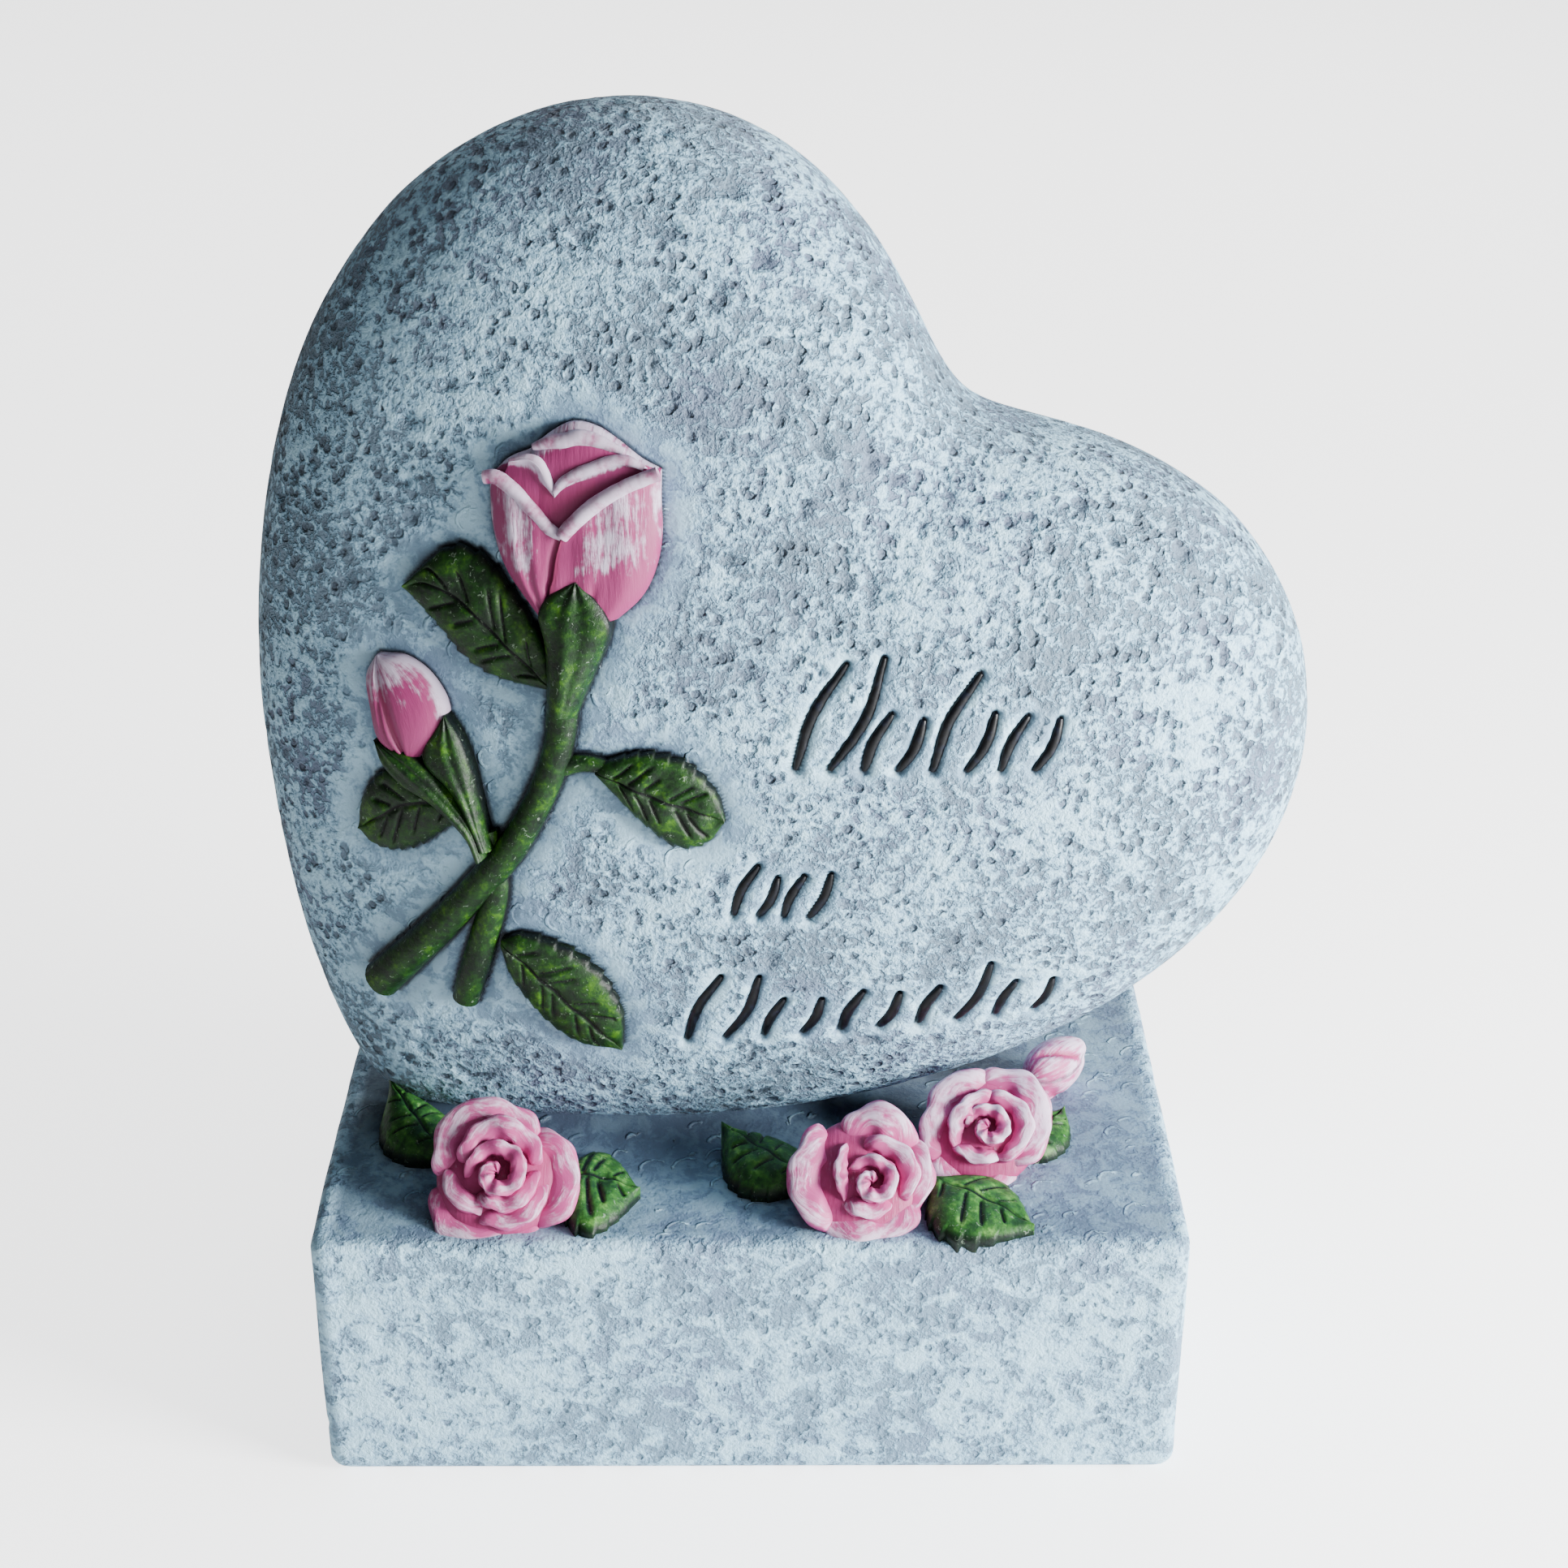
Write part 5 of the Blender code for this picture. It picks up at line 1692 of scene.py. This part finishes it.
    def rolls(self) -> list[Piece]:
        """Build the petals' rolled edges, brushed with white all over.

        Returns:
            One roll for each edge.
        """
        rolls = (
            ("rim_left", self.left_lip, (0.95, 1.05, 1.0, 0.95, 0.9, 0.7), 3.6),
            ("rim_right", self.right_lip, (0.95, 1.05, 1.1, 1.05, 1.0, 1.0), 4.0),
            ("rim_back", self.back_rim, (0.5, 1.0, 1.15, 1.2, 0.95, 0.5), 2.3),
            ("rim_inner_right", self.right_rim, (0.5, 0.7, 0.85, 0.85, 0.8, 0.75, 0.4), 3.3),
            ("rim_inner_left", self.left_rim, (0.4, 0.7, 0.85, 0.75, 0.45), 3.2),
        )
        pieces = []
        for name, line, radii, lift in rolls:
            flat, thick = self.dense(line, radii)
            roll = self.strand.build(name, [self.form.on_face(flat, lift * MM)], [thick], self.petal_paint,
                                     sides=16, lump_depth=0.14 * MM, lump_size=1.6 * MM)
            Maker.mark(roll.data, {"rim": np.full(len(roll.data.vertices), self.roll_white)})
            pieces.append(roll)
        return pieces

    def stems(self) -> list[Piece]:
        """Build the stems.

        Returns:
            One piece for each strand.
        """
        pieces = []
        for name, (flat, radii, lift) in self.strands().items():
            stem = self.strand.build(name, [self.form.on_face(flat, lift)], [radii], self.leaf_paint,
                                     spacing=0.6 * MM, lump_depth=0.2 * MM, lump_size=4 * MM)
            self.shade_sides(stem, flat, lift)
            pieces.append(stem)
        return pieces

    def build(self) -> list[tuple[Piece, bpy.types.Material, str]]:
        """Build the rose.

        Returns:
            Its pieces, each with its finish and its material slot.
        """
        pink = [*self.petals(), *self.rolls(), self.bud.build(self.form.on_face)]
        green = [*(lens.build(self.form.on_face) for lens in self.greens), *self.stems()]
        pieces = [(piece, self.petal_paint, "petal_paint") for piece in pink]
        return pieces + [(piece, self.leaf_paint, "leaf_paint") for piece in green]

    def shade_sides(self, stem: Piece, flat: np.ndarray, lift: float) -> None:
        """Mark a stem's flanks with painted shade, darker the further they turn from the face's front.

        Args:
            stem: The stem.
            flat: Its middle line on the face.
            lift: How far that line stands proud.
        """
        ways = self.form.normal(flat) @ self.form.axes
        tree = tree_of(self.form.on_face(flat, lift))
        flank = []
        for vertex in stem.data.vertices:
            middle, k, distance = tree.find(vertex.co)
            up = (vertex.co - middle).dot(Vector(ways[k])) / max(distance, 1e-6)
            flank.append(1 - smoothstep(0.0, 0.75, up))
        Maker.mark(stem.data, {"vein": flank})


# The roses at the foot


@dataclass(frozen=True)
class Petal:
    """One thick petal of a full rose, an arc about a point; lengths are shares of the rose's radius."""

    start: float
    end: float
    reach: Point
    height: float
    thick: float = 0.3
    drop: float = 0.5
    centre: tuple[float, float] = (0.0, 0.0)
    tuck: float = 0.12

    def sections(self, steps: int, around: int, radius: float) -> Shape:
        """Give the petal's rings of points in the rose's own frame.

        Args:
            steps: Number of rings along the arc.
            around: Points of a ring.
            radius: The rose's radius.

        Returns:
            Points with one row for each ring, and what the finish reads.
        """
        along = np.linspace(0, 1, steps + 1)[:, None]
        turn = np.linspace(0, 2 * math.pi, around, endpoint=False)[None]
        ends = np.clip(np.sin(math.pi * along), 0, None) ** 0.4
        angle = np.radians(self.start + (self.end - self.start) * along)
        seed = self.start * 0.13 + self.height * 31
        left = 1 - along
        shares = (left * (1 - 2 * along), 4 * along * left, along * (2 * along - 1))
        reach = sum(reach * share for reach, share in zip(self.reach, shares))
        wobble = 1 + 0.025 * np.sin(5 * angle + seed) + 0.012 * np.sin(13 * angle + 2 * seed)
        crest = reach * wobble * (1 - self.tuck * (1 - ends))
        thick = self.thick * (0.25 + 0.75 * ends)
        top = self.height - 0.2 * (1 - ends) + 0.025 * np.sin(6 * angle + seed)
        drop = self.drop * (0.35 + 0.65 * ends)
        out, up = np.cos(turn), np.sin(turn)
        width = thick * np.sign(out) * np.abs(out) ** 0.75 * 0.56
        rise = np.where(up > 0, np.abs(up) ** 0.8 * thick * 0.45, up * drop)
        dimple = 0.05 * thick * np.sin(9 * angle + 3 * turn + seed)
        distance = (crest - thick * 0.5 + width + 0.2 * thick * up + dimple) * radius
        height = (top - thick * 0.45 + rise) * radius
        x = self.centre[0] * radius + distance * np.cos(angle)
        y = self.centre[1] * radius + distance * np.sin(angle)
        rim = 0.78 * bump(turn - math.pi * 0.38, 0.85) * (0.35 + 0.65 * ends)
        # Painted shade on the petal's inner side and underside.
        inside = smoothstep(0.45, 1.0, -out) * (1 - smoothstep(-0.4, 0.5, up))
        deep = np.maximum(inside, smoothstep(0.4, 1.0, -up)) * 0.7 * np.ones_like(height)
        marks = {"rim": rim, "deep": deep, "vein": np.zeros_like(height),
                 "across": turn * thick * radius * 0.5,
                 "along": angle * crest * radius * np.ones_like(turn)}
        return np.stack([x, y, height], axis=-1), marks

    def build(self, name: str, radius: float, brushed: float, place: Turner,
              steps: int = 56, around: int = 26) -> Piece:
        """Build the petal.

        Args:
            name: The piece's name.
            radius: The rose's radius.
            brushed: How white the brush left its rim, from 0 to 1.
            place: Turns points of the rose's frame into points of the scene.
            steps: Number of rings along the arc.
            around: Points of a ring.

        Returns:
            The petal as a closed piece.
        """
        rings, marks = self.sections(steps, around, radius)
        marks["rim"] = marks["rim"] * brushed
        points = place(rings.reshape(-1, 3))
        faces = grid_faces(steps + 1, around, wrap=True)
        last = steps * around
        faces += [tuple(range(around - 1, -1, -1)), tuple(range(last, last + around))]
        return Maker.mesh(name, points, faces, marks)


@dataclass(frozen=True)
class FullRose:
    """An open rose that lies at the heart's foot; its place is in millimetres on the plinth."""

    name: str
    place: tuple[float, float]
    share: float
    brushed: float
    petals: tuple[Petal, ...]
    radius: float = 11.0
    tilt: float = math.radians(46)
    lift: float = 6.0
    plinth_height: float = 43.5

    def world(self, local: np.ndarray) -> np.ndarray:
        """Turn points of the rose's frame into points of the scene.

        Args:
            local: Points, in metres from the rose's middle.

        Returns:
            Points of the scene.
        """
        sin, cos = math.sin(self.tilt), math.cos(self.tilt)
        axes = np.array([[1, 0, 0], [0, sin, cos], [0, -cos, sin]])
        return np.array([*self.place, self.plinth_height + self.lift]) * MM + local @ axes

    def body(self, radius: float) -> Piece:
        """Build the mass under the petals.

        Args:
            radius: The rose's radius in metres.

        Returns:
            The mass as a closed piece.
        """
        rows, columns = 24, 48
        down = np.linspace(0, math.pi, rows)[:, None]
        turn = np.linspace(0, 2 * math.pi, columns, endpoint=False)[None]
        flat = 0.86 * np.sin(down) ** 0.9 * radius
        up = (np.where(down < math.pi / 2, 0.24, 0.66) * np.cos(down) - 0.1) * radius
        points = np.stack([flat * np.cos(turn), flat * np.sin(turn), up * np.ones_like(turn)], axis=-1)
        none = np.zeros(points.shape[:2])
        # The body under the petals gets painted shade all over.
        marks = {"rim": none, "deep": none + 0.7, "vein": none, "along": points[..., 1],
                 "across": points[..., 0]}
        return Maker.mesh(f"{self.name}_body", self.world(points.reshape(-1, 3)),
                          grid_faces(rows, columns, wrap=True), marks)

    def build(self) -> list[Piece]:
        """Build the rose.

        Returns:
            Its body and its petals.
        """
        radius = self.radius * self.share * MM
        pieces = [self.body(radius)]
        for k, petal in enumerate(self.petals, 1):
            pieces.append(petal.build(f"{self.name}_petal_{k}", radius, self.brushed, self.world))
        return pieces


LEFT_ROSE = FullRose("rose_left", (-37.3, -35.6), 1.0, 0.62, (
    Petal(180, 46, (0.92, 1.06, 0.84), 0.16, 0.42, 0.75),
    Petal(58, -54, (0.80, 1.07, 0.95), 0.10, 0.40, 0.75),
    Petal(188, 312, (1.00, 1.08, 0.88), 0.04, 0.44, 0.75),
    Petal(172, 254, (0.78, 0.70, 0.60), 0.20, 0.26, 0.5),
    Petal(246, 352, (0.72, 0.74, 0.74), 0.20, 0.28, 0.5),
    Petal(162, 14, (0.62, 0.74, 0.64), 0.32, 0.28, 0.5),
    Petal(222, 366, (0.44, 0.53, 0.58), 0.30, 0.24, 0.45),
    Petal(186, -300, (0.46, 0.34, 0.09), 0.38, 0.20, 0.45, tuck=0.05),
))
MIDDLE_ROSE = FullRose("rose_middle", (16.4, -36.0), 0.94, 0.78, (
    Petal(126, 238, (1.04, 1.00, 1.05), 0.20, 0.46, 0.75),
    Petal(112, 30, (0.86, 1.04, 1.06), 0.18, 0.50, 0.75),
    Petal(42, -38, (1.06, 1.00, 0.98), 0.06, 0.36, 0.75),
    Petal(214, 334, (0.80, 1.00, 1.00), 0.08, 0.50, 0.75),
    Petal(86, -30, (0.52, 0.76, 0.82), 0.27, 0.26, 0.5),
    Petal(112, 238, (0.56, 0.38, 0.48), 0.30, 0.18, 0.45),
    Petal(236, 318, (0.50, 0.62, 0.62), 0.22, 0.26, 0.5),
    Petal(150, -330, (0.42, 0.29, 0.08), 0.36, 0.19, 0.45, (0.16, -0.12), 0.05),
))
RIGHT_ROSE = FullRose("rose_right", (35.2, -23.8), 0.93, 1.0, (
    Petal(78, 214, (0.94, 0.88, 0.96), 0.18, 0.44, 0.75),
    Petal(90, -54, (0.94, 1.04, 0.78), 0.17, 0.44, 0.75),
    Petal(204, 308, (0.92, 1.10, 0.92), 0.08, 0.42, 0.75),
    Petal(218, 70, (0.60, 0.48, 0.60), 0.30, 0.24, 0.5),
    Petal(84, -70, (0.54, 0.72, 0.60), 0.28, 0.24, 0.5),
    Petal(212, 304, (0.60, 0.54, 0.60), 0.25, 0.22, 0.5),
    Petal(176, -300, (0.38, 0.27, 0.08), 0.36, 0.18, 0.45, (0.08, -0.03), 0.05),
))


@dataclass(frozen=True)
class FootGreens:
    """The leaves and the bud between the roses; places are millimetres, with heights over the plinth."""

    plinth_height: float = 43.5
    leaves: tuple[tuple[Point, Point, float], ...] = (
        ((-47.5, -25.5, 3.4), (-57.0, -9.5, 5.6), 11.5),
        ((-29.0, -32.6, 3.6), (-16.6, -33.2, 1.6), 20.0),
        ((7.6, -32.5, 3.6), (-4.6, -21.0, 5.0), 13.0),
        ((26.6, -33.4, 3.6), (41.8, -42.2, 1.4), 16.0),
        ((41.8, -25.0, 2.4), (49.2, -11.5, 1.2), 8.0),
    )
    bud_base: Point = (43.6, -8.8, 5.0)
    bud_tip: Point = (52.9, 0.0, 5.8)
    bud_radius: float = 3.7
    bud_length: float = 12.0
    bud_sunk: float = 0.6

    def over_plinth(self, flat: np.ndarray, lift: np.ndarray) -> np.ndarray:
        """Place points over the plinth's top, by their heights above it."""
        return np.concatenate([flat, (lift + self.plinth_height * MM)[..., None]], axis=-1)

    @staticmethod
    def oval(base: tuple[float, ...], tip: tuple[float, ...], width: float) -> tuple[Knots, Knots, Knots]:
        """Draw a pointed oval.

        Args:
            base: Where it starts.
            tip: Where it ends.
            width: Its width, in millimetres.

        Returns:
            One edge, the rib and the other edge.
        """
        start, reach = np.array(base[:2]), np.subtract(tip, base)[:2]
        side = np.array([-reach[1], reach[0]]) / np.linalg.norm(reach) * width / 2
        along = ((0.0, 0.0), (0.16, 0.72), (0.42, 1.0), (0.7, 0.72), (1.0, 0.0))
        left, right = (tuple(tuple(start + reach * t + side * swell * sign) for t, swell in along)
                       for sign in (1, -1))
        rib = (tuple(start), tuple(start + reach * 0.5 + side * 0.06), tuple(start + reach))
        return left, rib, right

    def build_leaves(self) -> list[Piece]:
        """Build the leaves.

        Returns:
            One piece for each leaf.
        """
        pieces = []
        for k, (base, tip, width) in enumerate(self.leaves, 1):
            lens = Lens(f"foot_leaf_{k}", Growth.LEAF, *self.oval(base, tip, width), rise=1.9,
                        heights=(base[2] - 0.6, tip[2] - 0.8), droop=0.85, vein_pairs=4, teeth=9)
            pieces.append(lens.build(self.over_plinth))
        return pieces

    def build_bud(self) -> Piece:
        """Build the bud that lies right of the roses.

        Returns:
            The bud, whose flanks run down into the plinth.
        """
        floor = np.array([0, 0, self.plinth_height * MM])
        base, tip = (np.array(end) * MM + floor for end in (self.bud_base, self.bud_tip))
        rows, columns = 46, 48
        along = 0.5 - 0.5 * np.cos(np.linspace(0, math.pi, rows))[:, None]
        turn = np.linspace(0, 2 * math.pi, columns, endpoint=False)[None]
        heading = (tip - base) / np.linalg.norm(tip - base)
        side = np.cross(heading, [0, 0, 1])
        side /= np.linalg.norm(side)
        climb = np.cross(side, heading)
        swell = np.sqrt(np.maximum(1 - (2 * along - 1) ** 2, 0)) * (1.12 - 0.3 * along)
        spiral = turn + along * 2.6
        thirds = [(spiral + k * 2 * math.pi / 3 + math.pi) % (2 * math.pi) - math.pi for k in range(3)]
        crease = sum(bump(third, 0.2) for third in thirds) * smoothstep(0.05, 0.3, along)
        radius = self.bud_radius * MM * swell * (1 - 0.22 * crease)
        middle = (self.bud_base[2] + self.bud_tip[2]) / 2
        hull = (middle + self.bud_sunk) * MM * swell**0.4
        rise = np.where(np.sin(turn) > 0, radius, hull) * np.sin(turn)
        points = (base + (tip - base) * along[..., None] + side * (radius * np.cos(turn))[..., None]
                  + climb * rise[..., None])
        none = np.zeros_like(radius)
        # Painted shade in the creases and towards the base.
        marks = {"rim": np.maximum(bump(along - 1, 0.3), 0.42 + 0.3 * along - 0.6 * crease),
                 "deep": np.maximum(crease, 0.5 * (1 - along)), "vein": none,
                 "along": along * self.bud_length * MM + none,
                 "across": turn * self.bud_radius * MM + none}
        return Maker.mesh("foot_bud", points.reshape(-1, 3), grid_faces(rows, columns, wrap=True), marks)


# The engraved strokes


@dataclass(frozen=True)
class Strokes:
    """Three rows of plain strokes on the heart's face, in millimetres."""

    rows: tuple[tuple[tuple[float, float], tuple[float, float], tuple[float, ...]], ...] = (
        ((3.6, -13.2), (37.6, -13.4), (17.5, 18.5, 9.5, 8.5, 16.0, 9.5, 9.0, 8.5)),
        ((-5.4, -36.8), (5.6, -37.0), (9.0, 7.0, 7.5, 8.0)),
        ((-12.6, -59.6), (39.6, -55.2), (13.0, 12.5, 7.5, 7.0, 8.0, 7.0, 7.5, 11.5, 7.0, 6.5)),
    )
    slant: float = math.radians(24)
    bow: float = 0.07
    radius: float = 0.9
    sunk: float = 0.72

    def lines(self) -> list[np.ndarray]:
        """Draw the strokes.

        Returns:
            Each stroke's points on the face, in metres.
        """
        heading = np.array([math.sin(self.slant), math.cos(self.slant)])
        lines = []
        for first, last, lengths in self.rows:
            feet = np.linspace(first, last, len(lengths))
            for k, (foot, length) in enumerate(zip(feet, lengths)):
                along = heading * length
                side = np.array([along[1], -along[0]]) * self.bow * (1 if k % 2 else -1)
                lines.append(smooth_line([foot, foot + along / 2 + side, foot + along], 40) * MM)
        return lines

    def build(self, form: HeartForm, strand: Strand, paint: bpy.types.Material) -> Piece:
        """Lay a bead of paint in each furrow.

        Args:
            form: The heart's surface.
            strand: The tree that makes strands.
            paint: The beads' finish.

        Returns:
            All beads as one piece.
        """
        lines = self.lines()
        taper = 0.45 + 0.55 * np.sin(np.linspace(0, math.pi, 40)) ** 0.6
        placed = [form.on_face(line, -self.sunk * MM) for line in lines]
        radii = [taper * self.radius * MM] * len(lines)
        return strand.build("stroke_beads", placed, radii, paint, sides=14, spacing=0.35 * MM,
                            lump_depth=0.16 * MM, lump_size=1.5 * MM)


# Studio


@dataclass
class Studio:
    """Pale floor, soft light and the camera."""

    camera_place: Point = (3.82 * MM, -362.96 * MM, 288.62 * MM)
    camera_pitch: float = math.radians(27.9)
    camera_yaw: float = math.radians(-0.2)
    lens: float = 62.0
    floor_size: float = 40.0
    floor_colour: Colour = (0.9, 0.905, 0.91)
    floor_light: Colour = (0.985, 0.99, 1.0)
    floor_glow: float = 0.3
    floor_pale: float = 2.6
    sky_glow: Colour = (0.08, 0.077, 0.074)
    backdrop: Colour = (2.62, 2.66, 2.7)
    lamps: tuple[tuple[str, Point, float, float, Colour], ...] = (
        ("key", (0.56, -0.27, 0.21), 0.25, 17.0, (1.0, 0.995, 0.98)),
        ("fill", (0.34, -0.8, 0.04), 0.5, 1.6, (1.0, 0.97, 0.94)),
        ("top", (0.4, 0.0, 0.85), 0.6, 2.2, (0.97, 0.98, 1.0)),
        ("back", (0.25, 0.9, 0.7), 0.6, 5.0, (1.0, 0.99, 0.97)),
    )

    def build(self) -> None:
        """Set up the floor, the lights and the camera."""
        scene = bpy.context.scene
        camera = bpy.data.cameras.new("camera")
        camera.lens = self.lens
        camera.clip_start = 0.01
        eye = Maker.put("camera", camera)
        eye.location = self.camera_place
        eye.rotation_euler = (math.pi / 2 - self.camera_pitch, 0, self.camera_yaw)
        scene.camera = eye
        self.floor()
        for lamp in self.lamps:
            self.lamp(*lamp)
        world = bpy.data.worlds.new("studio")
        world.use_nodes = True
        nodes = Nodes(world.node_tree)
        seen = nodes.add("ShaderNodeLightPath").outputs["Is Camera Ray"]
        sky = world.node_tree.nodes["Background"]
        world.node_tree.links.new(nodes.blend(seen, self.sky_glow, self.backdrop), sky.inputs["Color"])
        scene.world = world

    def floor(self) -> None:
        """Lay a plain pale floor."""
        half = self.floor_size / 2
        mesh = bpy.data.meshes.new("floor")
        corners = [(-half, -half, 0), (half, -half, 0), (half, half, 0), (-half, half, 0)]
        mesh.from_pydata(corners, [], [(0, 1, 2, 3)])
        material = bpy.data.materials.new("studio_floor")
        material.use_nodes = True
        shader = material.node_tree.nodes["Principled BSDF"]
        shader.inputs["Base Color"].default_value = (*self.floor_colour, 1)
        shader.inputs["Roughness"].default_value = 0.9
        shader.inputs["Emission Color"].default_value = (*self.floor_light, 1)
        nodes = Nodes(material.node_tree)
        seen = nodes.add("ShaderNodeLightPath").outputs["Is Camera Ray"]
        glow = nodes.ramp(seen, 0.0, 1.0, self.floor_glow, self.floor_pale)
        nodes.tree.links.new(glow, shader.inputs["Emission Strength"])
        mesh.materials.append(material)
        floor = Maker.put("floor", mesh)

    @staticmethod
    def lamp(name: str, place: Point, size: float, power: float, colour: Colour) -> None:
        """Hang a soft square lamp that points at the ornament.

        Args:
            name: The lamp's name.
            place: Where it hangs, in metres.
            size: Length of its side, in metres.
            power: Its power in watts.
            colour: Its light's colour.
        """
        light = bpy.data.lights.new(name, "AREA")
        light.size = size
        light.energy = power
        light.color = colour
        lamp = Maker.put(name, light)
        lamp.location = place
        lamp.visible_camera = False
        towards = Vector((0, 0, 0.1)) - Vector(place)
        lamp.rotation_euler = towards.to_track_quat("-Z", "Y").to_euler()


def main() -> None:
    """Build the ornament and its studio."""
    logging.basicConfig(level=logging.INFO, format="%(message)s")
    Studio().build()
    form = HeartForm()
    strand = Strand()
    paints = (StonePaint(), PetalPaint(), LeafPaint(), StrokePaint(), FOOT_PETALS, LIT_FOOT_LEAVES)
    stone, petal, leaf, black, foot_petal, foot_leaf = (paint.material() for paint in paints)
    rose = FaceRose(form, strand, petal, leaf)
    strokes = Strokes()
    heart = HeartStone(form, np.vstack(strokes.lines()), rose.halos()).build()
    plinth = PlinthStone().build(heart, form)
    weathering = Weathering()
    for piece in (heart, plinth):
        weathering.run(piece, stone)
        Maker.finish(piece, stone, "casting_stone")
    for piece, paint, slot in rose.build():
        Maker.finish(piece, paint, slot)
    for full in (LEFT_ROSE, MIDDLE_ROSE, RIGHT_ROSE):
        for piece in full.build():
            Maker.finish(piece, foot_petal, "petal_paint")
    greens = FootGreens()
    Maker.finish(greens.build_bud(), foot_petal, "petal_paint")
    for piece in greens.build_leaves():
        Maker.finish(piece, foot_leaf, "leaf_paint")
    beads = strokes.build(form, strand, black)
    Maker.finish(beads, black, "stroke_paint")


if __name__ == "__main__":
    main()
